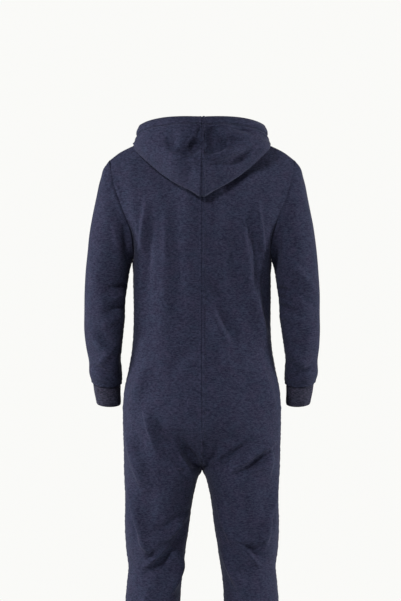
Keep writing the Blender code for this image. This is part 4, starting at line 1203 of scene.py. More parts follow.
BACK_FOLDS = (
    # the hollows beside the hood, filled
    Fold(0.100, 1.430, 0.106, 1.300, 0.030, 0.0060),
    Fold(-0.100, 1.430, -0.106, 1.300, 0.030, 0.0060),
    Fold(-0.050, 1.384, -0.135, 1.442, 0.0260, 0.0050),
    Fold(-0.052, 1.364, -0.160, 1.430, 0.0160, 0.0120),
    # upper back
    Fold(0.133, 1.350, 0.148, 1.225, 0.0050, 0.0080, lean=1.5),
    Fold(0.149, 1.240, 0.156, 1.040, 0.0060, 0.0070, lean=1.5),
    Fold(0.119, 1.320, 0.133, 1.130, 0.0090, -0.0068),
    Fold(0.085, 1.330, 0.088, 1.190, 0.0085, 0.0048, lean=0.8),
    Fold(0.088, 1.205, 0.094, 0.960, 0.0120, 0.0028, lean=0.8),
    Fold(0.066, 1.285, 0.055, 1.080, 0.0160, -0.0048),
    Fold(-0.132, 1.350, -0.144, 1.220, 0.0062, 0.0125, lean=-1.5),
    Fold(-0.123, 1.290, -0.131, 1.150, 0.0075, -0.0087),
    Fold(-0.094, 1.310, -0.114, 1.149, 0.0080, 0.0110, lean=-1.2),
    Fold(-0.112, 1.165, -0.152, 1.015, 0.0080, 0.0110, 0.003, -1.2),
    Fold(-0.148, 1.190, -0.158, 1.060, 0.0100, -0.0087),
    Fold(-0.072, 1.270, -0.080, 1.110, 0.0160, -0.0055),
    Fold(-0.016, 1.164, -0.046, 1.116, 0.0080, -0.0080),
    Fold(-0.018, 1.100, -0.062, 1.014, 0.0075, 0.0090, lean=-1.0),
    Fold(-0.034, 1.110, -0.080, 1.020, 0.0090, -0.0080),
    Fold(0.018, 1.010, 0.088, 0.940, 0.0160, -0.0048),
    # hips and seat
    Fold(0.168, 0.870, 0.130, 0.960, 0.0140, 0.0095),
    Fold(-0.136, 0.965, -0.172, 0.845, 0.0130, 0.0110, lean=-1.0),
    Fold(-0.049, 1.012, -0.068, 0.945, 0.0100, 0.0065),
    Fold(0.0, 0.930, 0.0, 0.820, 0.0280, -0.0045),
    Fold(-0.045, 0.868, 0.045, 0.868, 0.0380, 0.0070),
    Fold(-0.024, 0.764, 0.024, 0.764, 0.0300, -0.0120),
    Fold(0.136, 0.858, 0.113, 0.768, 0.0045, 0.0110, lean=1.5),
    Fold(0.107, 0.842, 0.095, 0.790, 0.0070, -0.0065),
    Fold(0.096, 0.796, 0.072, 0.780, 0.0060, -0.0072),
    Fold(0.001, 0.714, 0.058, 0.800, 0.0052, -0.0120, lean=-1.0),
    Fold(0.034, 0.700, 0.079, 0.764, 0.0080, -0.0055),
    Fold(0.022, 0.704, 0.062, 0.764, 0.0060, 0.0065),
    Fold(0.156, 0.800, 0.142, 0.756, 0.0120, -0.0072),
    Fold(-0.014, 0.728, -0.034, 0.762, 0.0050, -0.0050),
    Fold(-0.020, 0.716, -0.050, 0.762, 0.0055, 0.0072),
    Fold(-0.032, 0.731, -0.114, 0.786, 0.0065, -0.0110),
    Fold(-0.076, 0.710, -0.184, 0.776, 0.0048, -0.0150, lean=1.2),
    Fold(-0.064, 0.710, -0.116, 0.750, 0.0090, 0.0072),
    Fold(-0.096, 0.704, -0.158, 0.738, 0.0090, 0.0065),
    # left leg
    Fold(0.179, 0.793, 0.138, 0.671, 0.0068, 0.0110, lean=1.5),
    Fold(0.176, 0.685, 0.138, 0.538, 0.0058, 0.0120, lean=1.2),
    Fold(0.187, 0.668, 0.152, 0.540, 0.0055, -0.0085),
    Fold(0.148, 0.552, 0.120, 0.520, 0.0060, 0.0090),
    Fold(0.128, 0.700, 0.118, 0.585, 0.0160, -0.0042),
    Fold(0.072, 0.700, 0.088, 0.620, 0.0180, 0.0048),
    Fold(0.116, 0.566, 0.036, 0.620, 0.0085, -0.0087),
    Fold(0.090, 0.550, 0.034, 0.608, 0.0060, 0.0101),
    Fold(0.128, 0.474, 0.038, 0.588, 0.0100, -0.0135, 0.013),
    Fold(0.128, 0.512, 0.104, 0.529, 0.0050, -0.0087),
    Fold(0.138, 0.483, 0.080, 0.540, 0.0060, 0.0101),
    Fold(0.070, 0.430, 0.046, 0.510, 0.0068, 0.0150, lean=-1.0),
    Fold(0.132, 0.430, 0.122, 0.330, 0.0100, 0.0087, lean=1.0),
    Fold(0.120, 0.330, 0.060, 0.390, 0.0110, -0.0109),
    Fold(0.060, 0.300, 0.112, 0.250, 0.0100, 0.0109),
    Fold(0.130, 0.240, 0.074, 0.200, 0.0100, -0.0109),
    Fold(0.062, 0.180, 0.110, 0.154, 0.0080, 0.0094),
    Fold(0.126, 0.168, 0.092, 0.118, 0.0070, -0.0080),
    # right leg
    Fold(-0.170, 0.792, -0.152, 0.688, 0.0068, 0.0095, lean=-1.5),
    Fold(-0.178, 0.697, -0.154, 0.577, 0.0058, 0.0120, lean=-1.2),
    Fold(-0.190, 0.684, -0.167, 0.570, 0.0055, -0.0085),
    Fold(-0.155, 0.606, -0.149, 0.538, 0.0060, 0.0130, lean=-1.2),
    Fold(-0.038, 0.634, -0.070, 0.540, 0.0045, 0.0100, lean=1.0),
    Fold(-0.066, 0.552, -0.130, 0.552, 0.0055, 0.0051),
    Fold(-0.099, 0.543, -0.118, 0.526, 0.0060, -0.0062),
    Fold(-0.118, 0.527, -0.150, 0.543, 0.0060, -0.0052),
    Fold(-0.108, 0.538, -0.142, 0.510, 0.0060, -0.0094),
    Fold(-0.097, 0.533, -0.136, 0.487, 0.0045, 0.0110),
    Fold(-0.052, 0.520, -0.096, 0.424, 0.0080, 0.0150, lean=1.0),
    Fold(-0.070, 0.545, -0.110, 0.470, 0.0140, -0.0066),
    Fold(-0.128, 0.420, -0.118, 0.320, 0.0100, 0.0087, lean=-1.0),
    Fold(-0.062, 0.370, -0.116, 0.300, 0.0120, -0.0109),
    Fold(-0.130, 0.290, -0.070, 0.250, 0.0100, 0.0109),
    Fold(-0.060, 0.226, -0.116, 0.192, 0.0100, -0.0104),
    Fold(-0.124, 0.182, -0.078, 0.148, 0.0080, 0.0096),
    Fold(-0.066, 0.150, -0.100, 0.116, 0.0070, -0.0080),
)
FRONT_FOLDS = (
    # chest and waist
    Fold(0.070, 1.330, 0.096, 1.190, 0.013, 0.0063, lean=1.0),
    Fold(0.128, 1.290, 0.110, 1.160, 0.014, -0.0066),
    Fold(-0.082, 1.310, -0.090, 1.160, 0.013, 0.0063, lean=-1.0),
    Fold(-0.126, 1.260, -0.118, 1.130, 0.013, -0.0066),
    Fold(0.034, 1.130, 0.092, 1.036, 0.014, -0.0066),
    Fold(0.122, 1.100, 0.068, 0.990, 0.011, 0.0069, lean=1.0),
    Fold(-0.114, 1.094, -0.042, 1.008, 0.014, -0.0069),
    Fold(-0.050, 1.080, -0.114, 0.956, 0.011, 0.0066, lean=-1.0),
    # hips and crotch
    Fold(0.140, 1.000, 0.128, 0.880, 0.016, 0.0063),
    Fold(-0.146, 0.990, -0.138, 0.870, 0.016, 0.0063),
    Fold(0.026, 0.800, 0.114, 0.862, 0.012, -0.0078),
    Fold(0.022, 0.758, 0.124, 0.802, 0.009, 0.0078),
    Fold(0.028, 0.714, 0.134, 0.730, 0.010, -0.0084),
    Fold(-0.026, 0.790, -0.100, 0.842, 0.012, -0.0078),
    Fold(-0.022, 0.746, -0.130, 0.778, 0.009, 0.0078),
    Fold(-0.032, 0.702, -0.132, 0.706, 0.010, -0.0084),
    # left leg
    Fold(0.152, 0.700, 0.138, 0.576, 0.011, 0.0069, lean=1.0),
    Fold(0.060, 0.640, 0.078, 0.540, 0.014, -0.0060),
    Fold(0.132, 0.532, 0.058, 0.500, 0.009, 0.0078),
    Fold(0.122, 0.482, 0.054, 0.470, 0.009, -0.0081),
    Fold(0.060, 0.420, 0.118, 0.360, 0.011, 0.0075),
    Fold(0.126, 0.300, 0.064, 0.250, 0.011, -0.0078),
    Fold(0.062, 0.216, 0.118, 0.176, 0.010, 0.0069),
    Fold(0.120, 0.150, 0.074, 0.124, 0.007, -0.0057),
    # right leg
    Fold(-0.158, 0.670, -0.140, 0.556, 0.011, 0.0069, lean=-1.0),
    Fold(-0.066, 0.620, -0.084, 0.530, 0.014, -0.0060),
    Fold(-0.058, 0.522, -0.130, 0.484, 0.009, 0.0078),
    Fold(-0.062, 0.486, -0.128, 0.450, 0.009, -0.0081),
    Fold(-0.116, 0.410, -0.062, 0.340, 0.011, 0.0075),
    Fold(-0.066, 0.300, -0.122, 0.262, 0.011, -0.0078),
    Fold(-0.124, 0.226, -0.068, 0.186, 0.010, 0.0069),
    Fold(-0.070, 0.150, -0.112, 0.122, 0.007, -0.0057),
)
SLEEVE_BACK_FOLDS = (
    # left sleeve
    Fold(0.184, 1.312, 0.176, 1.204, 0.010, -0.0081),
    Fold(0.204, 1.300, 0.200, 1.200, 0.009, 0.0054, lean=1.0),
    Fold(0.174, 1.157, 0.226, 1.145, 0.006, -0.0081),
    Fold(0.180, 1.131, 0.232, 1.117, 0.007, 0.0069),
    Fold(0.180, 1.107, 0.234, 1.089, 0.006, -0.0081),
    Fold(0.190, 1.080, 0.238, 1.058, 0.008, 0.0057),
    Fold(0.264, 1.240, 0.254, 1.136, 0.010, 0.0054, lean=1.5),
    Fold(0.258, 1.060, 0.212, 0.998, 0.010, -0.0063),
    Fold(0.204, 1.012, 0.252, 0.958, 0.009, 0.0066),
    Fold(0.264, 0.965, 0.214, 0.934, 0.007, -0.0066),
    # right sleeve
    Fold(-0.182, 1.302, -0.174, 1.196, 0.010, -0.0081),
    Fold(-0.206, 1.208, -0.272, 1.138, 0.009, 0.0075),
    Fold(-0.204, 1.168, -0.260, 1.104, 0.010, -0.0066),
    Fold(-0.172, 1.148, -0.216, 1.136, 0.006, -0.0078),
    Fold(-0.172, 1.128, -0.210, 1.121, 0.005, -0.0060),
    Fold(-0.176, 1.107, -0.230, 1.089, 0.006, -0.0081),
    Fold(-0.182, 1.084, -0.234, 1.065, 0.007, 0.0063),
    Fold(-0.252, 1.052, -0.212, 0.990, 0.010, -0.0063),
    Fold(-0.202, 1.002, -0.254, 0.954, 0.009, 0.0066),
    Fold(-0.260, 0.960, -0.214, 0.931, 0.007, -0.0066),
)
SLEEVE_FRONT_FOLDS = (
    Fold(0.190, 1.172, 0.252, 1.130, 0.009, -0.0075),
    Fold(0.186, 1.132, 0.252, 1.098, 0.008, 0.0072),
    Fold(0.190, 1.098, 0.246, 1.064, 0.008, -0.0072),
    Fold(0.258, 1.242, 0.226, 1.176, 0.011, 0.0060),
    Fold(0.256, 1.022, 0.208, 0.978, 0.009, -0.0063),
    Fold(-0.186, 1.160, -0.248, 1.124, 0.009, -0.0075),
    Fold(-0.184, 1.120, -0.250, 1.090, 0.008, 0.0072),
    Fold(-0.252, 1.070, -0.192, 1.056, 0.008, -0.0072),
    Fold(-0.220, 1.252, -0.258, 1.178, 0.011, 0.0060),
    Fold(-0.208, 1.012, -0.254, 0.968, 0.009, -0.0063),
)
HOOD_FOLDS = (
    Fold(0.0, 1.450, 0.0, 1.350, 0.0240, 0.0110),
    Fold(0.038, 1.460, 0.007, 1.498, 0.0078, -0.0200, lean=1.0),
    Fold(0.014, 1.500, 0.001, 1.528, 0.0045, -0.0080),
    Fold(-0.022, 1.530, -0.032, 1.468, 0.0110, -0.0170, lean=-1.2),
    Fold(-0.064, 1.527, -0.122, 1.514, 0.0060, -0.0085),
    Fold(0.092, 1.500, 0.046, 1.480, 0.0090, -0.0052),
    Fold(0.016, 1.443, -0.088, 1.470, 0.0078, 0.0160, 0.004),
    Fold(0.002, 1.462, -0.064, 1.488, 0.0090, -0.0150, 0.003),
    Fold(-0.004, 1.428, -0.090, 1.456, 0.0100, -0.0080, 0.003),
    Fold(0.080, 1.460, 0.004, 1.441, 0.0060, 0.0120, -0.003),
    Fold(0.074, 1.474, 0.030, 1.459, 0.0065, -0.0085),
    Fold(-0.040, 1.507, -0.126, 1.499, 0.0060, 0.0080),
    Fold(-0.070, 1.438, -0.130, 1.482, 0.0050, -0.0095, lean=1.0),
    Fold(-0.050, 1.436, -0.100, 1.452, 0.0080, -0.0050),
    Fold(0.090, 1.452, 0.030, 1.400, 0.0140, 0.0050),
)


class ClothPiece:
    """A cut piece of fleece that stands for one node."""

    def __init__(self, name: str, side: Side, cut: Cut, mesh: Mesh) -> None:
        """Keeps what every piece has.

        Args:
            name: the node it stands for.
            side: the wearer's side.
            cut: its flat size.
            mesh: how finely it is laid out.
        """
        self.node = name
        self.side = side
        self.cut = cut
        self.mesh = mesh
        self.shell: Shell | None = None

    def reading(self, coarse: np.ndarray) -> tuple[np.ndarray, np.ndarray]:
        """Row and column readings for a coarse grid, finer beside its borders."""
        return tuple(seamed_marks(coarse_lengths(coarse, axis), self.mesh) for axis in (0, 1))

    def finish(self, materials: Sequence[bpy.types.Material], rests_on: Sequence[str]) -> bpy.types.Object:
        """Args:
            materials: outside and inside material.
            rests_on: what the piece hangs from; not used.

        Returns:
            The object.
        """
        obj = self.shell.piece(materials)
        obj.name = f"cloth_{self.node}"
        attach(obj, GARMENT_BODY)
        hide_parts(self.node)
        LOG.info("%s: %d by %d points", obj.name, *self.shell.points.shape[:2])
        return obj


class TorsoPiece(ClothPiece):
    """Half of the back or of the front, from the neck and shoulder to the ankle seam."""

    def __init__(self, facing: Facing, side: Side) -> None:
        """Reads the solid and lays the shell.

        Args:
            facing: back or front.
            side: the wearer's side.
        """
        back = facing is Facing.BACK
        name, cut, mesh = ("back", BACK_CUT, BACK_MESH) if back else ("front", FRONT_CUT, FRONT_MESH)
        super().__init__(f"{name}_{side.word}", side, cut, mesh)
        self.facing = facing
        skin = SolidSkin(self.node, TORSO_COLUMNS, False, lambda p: p[1] * facing.value)
        near = -1 if back else 1
        coarse = skin.turned(lambda p: p[2], lambda p: near * abs(p[0]))
        if back:
            coarse = eased(coarse, EASED_ROWS, EASED_COLUMNS, EASING_ROUNDS)
        self.coarse = coarse
        rows, columns = self.reading(coarse)
        shell = Shell(self.node, lay(coarse, rows, columns), side)
        corner = NECK_COLUMNS if back else TORSO_COLUMNS - 1 - NECK_COLUMNS
        shell.points[0] = spline(coarse[0], columns, corners=[corner])
        side_place, centre_place = (-1, 0) if back else (0, -1)
        shell.points[:, side_place] = spline(coarse[:, side_place], rows, corners=[UNDERARM_ROW])
        shell.points[:, centre_place] = spline(coarse[:, centre_place], rows, corners=[CROTCH_ROW])
        shell.measure()
        self.shell = shell
        self.rows = rows

    def dress(self, folds: Sequence[Fold]) -> None:
        """Presses folds and seams into the shell.

        Args:
            folds: the finer folds on this piece.
        """
        shell = self.shell
        x, top = shell.across, shell.down
        first, last = (x, x[:, -1:] - x) if self.facing is Facing.BACK else (x[:, -1:] - x, x)
        free = TORSO_HOLD.free(top)
        shell.fold(folds, self.facing, free)
        shell.ripple(TORSO_SWELLS, free)
        centre = ZIP_SEAM
        if self.facing is Facing.BACK:
            soften_armhole(shell, last)
            centre = CENTRE_SEAM if self.side is Side.LEFT else LAPPED_SEAM
        above = before_row(self.rows, UNDERARM_ROW, UNDERARM_BLEND)
        trunk = before_row(self.rows, CROTCH_ROW, CROTCH_BLEND)
        armhole = ARMHOLE_SEAM.profile(last, top, seed=2.0) * above
        heights = centre.profile(first, top, seed=1.0) * trunk
        heights += PLAIN_SEAM.profile(first, top, seed=1.5) * (1 - trunk)
        heights += armhole * over_the_shoulder(shell.points[..., 2])
        heights += PLAIN_SEAM.profile(last, top, seed=2.5) * (1 - above)
        heights += PLAIN_SEAM.profile(top, x, seed=3.0) * SHOULDER_SEAM_SHARE
        heights += CUFF_SEAM.profile(top[-1:] - top, x, seed=4.0)
        shell.lift(heights)
        shell.measure()

    def neckline(self, at: np.ndarray) -> np.ndarray:
        """Points of the neck seam.

        Args:
            at: readings from 0 at the centre to NECK_COLUMNS at the shoulder seam.

        Returns:
            The points.
        """
        edge = self.coarse[0] if self.facing is Facing.BACK else self.coarse[0, ::-1]
        return spline(edge[: NECK_COLUMNS + 1], at)


class SleevePiece(ClothPiece):
    """A set-in sleeve, from the armhole to the wrist seam, its own seam at the underarm."""

    def __init__(self, side: Side) -> None:
        """Reads the solid and lays the shell.

        Args:
            side: the wearer's side.
        """
        super().__init__(f"sleeve_{side.word}", side, SLEEVE_CUT, SLEEVE_MESH)
        skin = SolidSkin(self.node, SLEEVE_COLUMNS, True, lambda p: p[0] * side.value)
        coarse = skin.turned(lambda p: p[2], lambda p: p[2] + abs(p[0]))
        quarter = SLEEVE_COLUMNS // 4
        if coarse[0, quarter, 1] > coarse[0, 3 * quarter, 1]:
            coarse = np.concatenate([coarse[:, :1], coarse[:, :0:-1]], axis=1)
        rows = seamed_marks(coarse_lengths(coarse, 0), self.mesh)
        ring = coarse[SLEEVE_GIRTH_ROW]
        girth = float(np.linalg.norm(np.roll(ring, -1, axis=0) - ring, axis=1).sum())
        columns = np.linspace(0, SLEEVE_COLUMNS, int(girth / self.mesh.pitch) + 1)
        under = int(np.argmin(abs(columns - SLEEVE_UNDER_COLUMN)))
        columns[under] = SLEEVE_UNDER_COLUMN
        shell = Shell(self.node, lay(coarse, rows, columns, closed=True), side, closed=True)
        shell.points[0] = spline(coarse[0], columns, closed=True, corners=(0, SLEEVE_UNDER_COLUMN))
        shell.points[0] += (shell.points[0] - shell.points[1]) * SEAM_CLOSE
        shell.measure()
        self.shell = shell
        self.under = under

    def dress(self, folds: Sequence[Fold], front_folds: Sequence[Fold]) -> None:
        """Presses folds and seams into the shell.

        Args:
            folds: the finer folds seen from behind.
            front_folds: the finer folds seen from the front.
        """
        shell = self.shell
        top, bottom = shell.down, shell.down[-1:] - shell.down
        free = SLEEVE_HOLD.free(top)
        shell.fold(folds, Facing.BACK, free)
        shell.fold(front_folds, Facing.FRONT, free)
        shell.ripple(SLEEVE_SWELLS, free)
        soften_armhole(shell, top)
        crown = smooth_step((shell.points[..., 2] - FLOOR_HEIGHT - CROWN_HEIGHT) / CROWN_SPAN)
        shell.lift(CROWN_SWELL * gentle(top, CROWN_AT, CROWN_WIDTH) * crown)
        under = np.abs(shell.across - shell.across[:, self.under: self.under + 1])
        armhole = ARMHOLE_SEAM.profile(top, shell.across, seed=6.0)
        heights = PLAIN_SEAM.profile(under, shell.down, seed=5.0) * smooth_step(top / UNDERARM_FADE)
        heights += armhole * over_the_shoulder(shell.points[:1, :, 2])
        heights += CUFF_SEAM.profile(bottom, shell.across, seed=7.0)
        shell.lift(heights)
        shell.measure()


class HoodPiece(ClothPiece):
    """Half of the hood, from the turned-in hem at the face edge to the neck seam."""

    def __init__(self, side: Side, back: TorsoPiece, front: TorsoPiece) -> None:
        """Reads the solid and lays the shell.

        Args:
            side: the wearer's side.
            back: the back half on the same side, for the neckline.
            front: the front half on the same side.
        """
        super().__init__(f"hood_{side.word}", side, HOOD_CUT, HOOD_MESH)
        skin = SolidSkin(self.node, HOOD_COLUMNS, False, lambda p: p[1])
        coarse = skin.turned(lambda p: p[1], lambda p: p[1])
        rows, columns = self.reading(coarse)
        shell = Shell(self.node, lay(coarse, rows, columns), side)
        stations = columns / HOOD_PER_NECK
        behind = back.neckline(np.clip(stations, 0, NECK_COLUMNS))
        before = front.neckline(np.clip(2 * NECK_COLUMNS - stations, 0, NECK_COLUMNS))
        run = np.where((stations <= NECK_COLUMNS)[:, None], behind, before)
        steps = shell.points[-1] - run
        apart = np.minimum(np.linalg.norm(steps, axis=1, keepdims=True), NECK_CLOSE)
        shell.points[-1] = run + unit(steps) * apart
        shell.measure()
        self.shell = shell

    def dress(self, folds: Sequence[Fold]) -> None:
        """Presses folds, the hem and the seams into the shell.

        Args:
            folds: the finer folds seen from behind.
        """
        shell = self.shell
        top = shell.down
        free = HOOD_HOLD.free(top)
        shell.fold(folds, Facing.BACK, free)
        shell.ripple(HOOD_SWELLS, free)
        centre = CENTRE_SEAM if self.side is Side.LEFT else LAPPED_SEAM
        hem = gentle(top, HEM_WIDTH / 2, HEM_WIDTH / 3)
        lip = gentle(top, HEM_WIDTH * HEM_LIP_AT, HEM_LIP_WIDTH)
        heights = centre.profile(shell.across, top, seed=8.0) * HOOD_SEAM_SHARE
        heights -= HEM_SUNK * gentle(top, HEM_WIDTH, HEM_SUNK_WIDTH)
        heights += HEM_SWELL * (hem + lip)
        shell.lift(heights * smooth_step((top[-1:] - top) / HOOD_SEAM_FADE))
        shell.measure()


# ---------------------------------------------------------------------------------------------
# Stitches
# ---------------------------------------------------------------------------------------------


@dataclass(frozen=True)
class StitchSizes:
    """How a stitch lies on the cloth."""

    length: float = 0.0026
    gap: float = 0.0007
    width: float = 0.0006
    height: float = 0.0004


class Thread:
    """Rows of topstitching gathered in one piece."""

    SIZES = StitchSizes()

    def __init__(self) -> None:
        """Starts without stitches."""
        self.bm = bmesh.new()
        self.count = 0

    def row(self, line: ClothLine) -> None:
        """Lays stitches end to end along a line on the cloth.

        Args:
            line: places with their outward directions.
        """
        size = self.SIZES
        places = np.array([place for place, _ in line])
        outward = np.array([out for _, out in line])
        reach = path_lengths(places)
        scale = Matrix.Diagonal((size.length / 2, size.width / 2, size.height / 2, 1.0))
        for start in np.arange(size.gap, reach[-1] - size.length, size.length + size.gap):
            first, last = (Vector(point_along(places, reach, at)) for at in (start, start + size.length))
            up = Vector(point_along(outward, reach, start + size.length / 2)).normalized()
            ahead = (last - first).normalized()
            aside = up.cross(ahead).normalized()
            turn = Matrix((ahead, aside, ahead.cross(aside))).transposed().to_4x4()
            spot = Matrix.Translation((first + last) / 2)
            bmesh.ops.create_icosphere(self.bm, subdivisions=1, radius=1.0, matrix=spot @ turn @ scale)
            self.count += 1

    def finish(self, name: str, material: bpy.types.Material) -> bpy.types.Object:
        """Makes the object.

        Args:
            name: its name.
            material: the thread's finish.

        Returns:
            The object.
        """
        obj = mesh_object(name, self.bm, [material])
        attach(obj, GARMENT_BODY)
        LOG.info("%s: %d stitches", name, self.count)
        return obj


# ---------------------------------------------------------------------------------------------
# Rib cuffs
# ---------------------------------------------------------------------------------------------


@dataclass(frozen=True)
class CuffSizes:
    """How a rib cuff is knitted."""

    ribs: int
    rise: float = 0.0005
    rib_fullness: float = 0.7
    rib_sunk: float = 0.6
    solid_rise: float = 0.0007
    steps_per_rib: int = 6
    edge: float = 0.0022
    edge_flat: float = 0.8
    tuck: float = 0.0009
    wobble: float = 0.0005
    wobble_waves: int = 3
    wobble_turn: float = 5.0
    seam_sunk: float = 0.0008
    seam_width: float = 0.0012


# the rows of a cuff, as shares of its length from the seam: closer together at both ends
CUFF_ROWS = (0.0, 0.015, 0.04, 0.08, *np.linspace(0.14, 0.94, 12), 0.975, 1.0)
WRIST_CUFF = CuffSizes(ribs=66)
ANKLE_CUFF = CuffSizes(ribs=84)
WRIST_CUFF_CUT = Cut(0.200, 0.052, 0.0104)
ANKLE_CUFF_CUT = Cut(0.265, 0.069, 0.0183)


@dataclass(frozen=True)
class Ellipse:
    """A leaning ellipse: one end of a cuff."""

    centre: np.ndarray
    half_width: float
    half_depth: float
    tilt: float
    lean: float

    @classmethod
    def around(cls, ring: np.ndarray, rise: float) -> "Ellipse":
        """Fits the ellipse to the points of one end.

        Args:
            ring: the points, ribs raised.
            rise: how far the ribs stand out.

        Returns:
            The ellipse under the ribs.
        """
        low, high = ring.min(axis=0), ring.max(axis=0)
        middle = (low + high) / 2
        off = ring[:, :2] - middle[:2]
        plane, *_ = np.linalg.lstsq(np.column_stack([off, np.ones(len(ring))]), ring[:, 2], rcond=None)
        lean, tilt, height = (float(value) for value in plane)
        half = (high - low) / 2 - rise
        return cls(np.array([middle[0], middle[1], height]), float(half[0]), float(half[1]), tilt, lean)

    def toward(self, other: "Ellipse", share: float) -> "Ellipse":
        """The ellipse a share of the way to another."""
        mixed = [a + (b - a) * share for a, b in zip(self.values(), other.values())]
        return Ellipse(*mixed)

    def values(self) -> tuple:
        """Its fields in order."""
        return self.centre, self.half_width, self.half_depth, self.tilt, self.lean

    def ring(self, turn: np.ndarray, rise: np.ndarray, side: Side) -> np.ndarray:
        """Points round it, from the outside of the arm over the front.

        Args:
            turn: angles.
            rise: how far each point stands out.
            side: the wearer's side.

        Returns:
            The points.
        """
        across = (self.half_width + rise) * np.cos(turn) * side.value
        depth = -(self.half_depth + rise) * np.sin(turn)
        height = self.tilt * depth + self.lean * across
        return np.stack([across, depth, height], axis=1) + self.centre


class RibCuff:
    """A tube of fine rib knit that draws a sleeve or a leg in."""

    def __init__(self, node: str, side: Side, sizes: CuffSizes) -> None:
        """Reads both ends of the node.

        Args:
            node: the node it stands for.
            side: the wearer's side.
            sizes: how it is knitted.
        """
        self.node, self.side, self.sizes = node, side, sizes
        places = np.array([v.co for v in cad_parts[node].data.vertices])
        middle = (places[:, 2].min() + places[:, 2].max()) / 2
        self.top = Ellipse.around(places[places[:, 2] > middle], sizes.solid_rise)
        self.bottom = Ellipse.around(places[places[:, 2] <= middle], sizes.solid_rise)
        self.length = float(np.linalg.norm(self.top.centre - self.bottom.centre))

    def rings(self) -> np.ndarray:
        """Rows of the cuff's outside, ribs raised, from the seam down."""
        size = self.sizes
        turn = np.linspace(0, 2 * math.pi, size.ribs * size.steps_per_rib + 1)
        wave = np.abs(np.cos(turn * size.ribs / 2)) ** size.rib_fullness - size.rib_sunk
        seam = gentle((turn - math.pi) * self.top.half_width, 0.0, size.seam_width)
        rows = []
        for share in CUFF_ROWS:
            near_top = gentle(share * self.length, 0.0, size.edge)
            near_end = gentle((1 - share) * self.length, 0.0, size.edge)
            edge = near_top + near_end
            phase = size.wobble_waves * turn + size.wobble_turn * share
            rise = size.rise * wave * (1 - size.edge_flat * edge) - size.tuck * edge
            rise += size.wobble * np.sin(phase) * math.sin(math.pi * share) - size.seam_sunk * seam
            rows.append(self.top.toward(self.bottom, share).ring(turn, rise, self.side))
        return np.array(rows)

    def build(self, material: bpy.types.Material, cut: Cut, sewn_to: Sequence[str]) -> bpy.types.Object:
        """Args:
            material: the rib finish.
            cut: its flat size, doubled over at the end; not used.
            sewn_to: the pieces it hangs from; not used.

        Returns:
            The object.
        """
        obj = Shell(self.node, self.rings(), self.side, closed=True).piece([material])
        obj.name = f"rib_{self.node}"
        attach(obj, GARMENT_BODY)
        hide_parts(self.node)
        LOG.info("%s: %d ribs", obj.name, self.sizes.ribs)
        return obj


# ---------------------------------------------------------------------------------------------
# Zip
# ---------------------------------------------------------------------------------------------


@dataclass(frozen=True)
class ZipSizes:
    """Sizes of the moulded zip: what shows of its tapes, the teeth and the stops."""

    tape_wall: float = 0.0010
    tape_width: float = 0.0130
    tape_pitch: float = 0.004
    tape_steps: int = 10
    cord_rise: float = 0.00018
    cord_at: float = 0.0045
    cord_width: float = 0.0006
    groove: float = 0.00012
    groove_at: float = 0.0060
    groove_width: float = 0.0005
    line_pitch: float = 0.002
    tooth_pitch: float = 0.0026
    tooth: tuple[float, float, float] = (0.0030, 0.0016, 0.0012)
    tooth_offset: float = 0.0010
    first_tooth: float = 0.004
    last_tooth: float = 0.006
    standing_out: float = 0.35
    edge: float = 0.00025
    slider_clear: float = 0.0072
    top_stop: tuple[float, float, float] = (0.0024, 0.0022, 0.0034)
    top_stop_aside: float = 0.7
    bottom_stop: tuple[float, float, float] = (0.0060, 0.0026, 0.0050)
    bottom_stop_up: float = 0.004


def ease_edges(bm: bmesh.types.BMesh, width: float, segments: int) -> None:
    """Takes the sharpness off every edge of small hard parts."""
    bmesh.ops.bevel(
        bm, geom=bm.edges[:], offset=width, segments=segments, profile=0.5, affect="EDGES", material=-1
    )


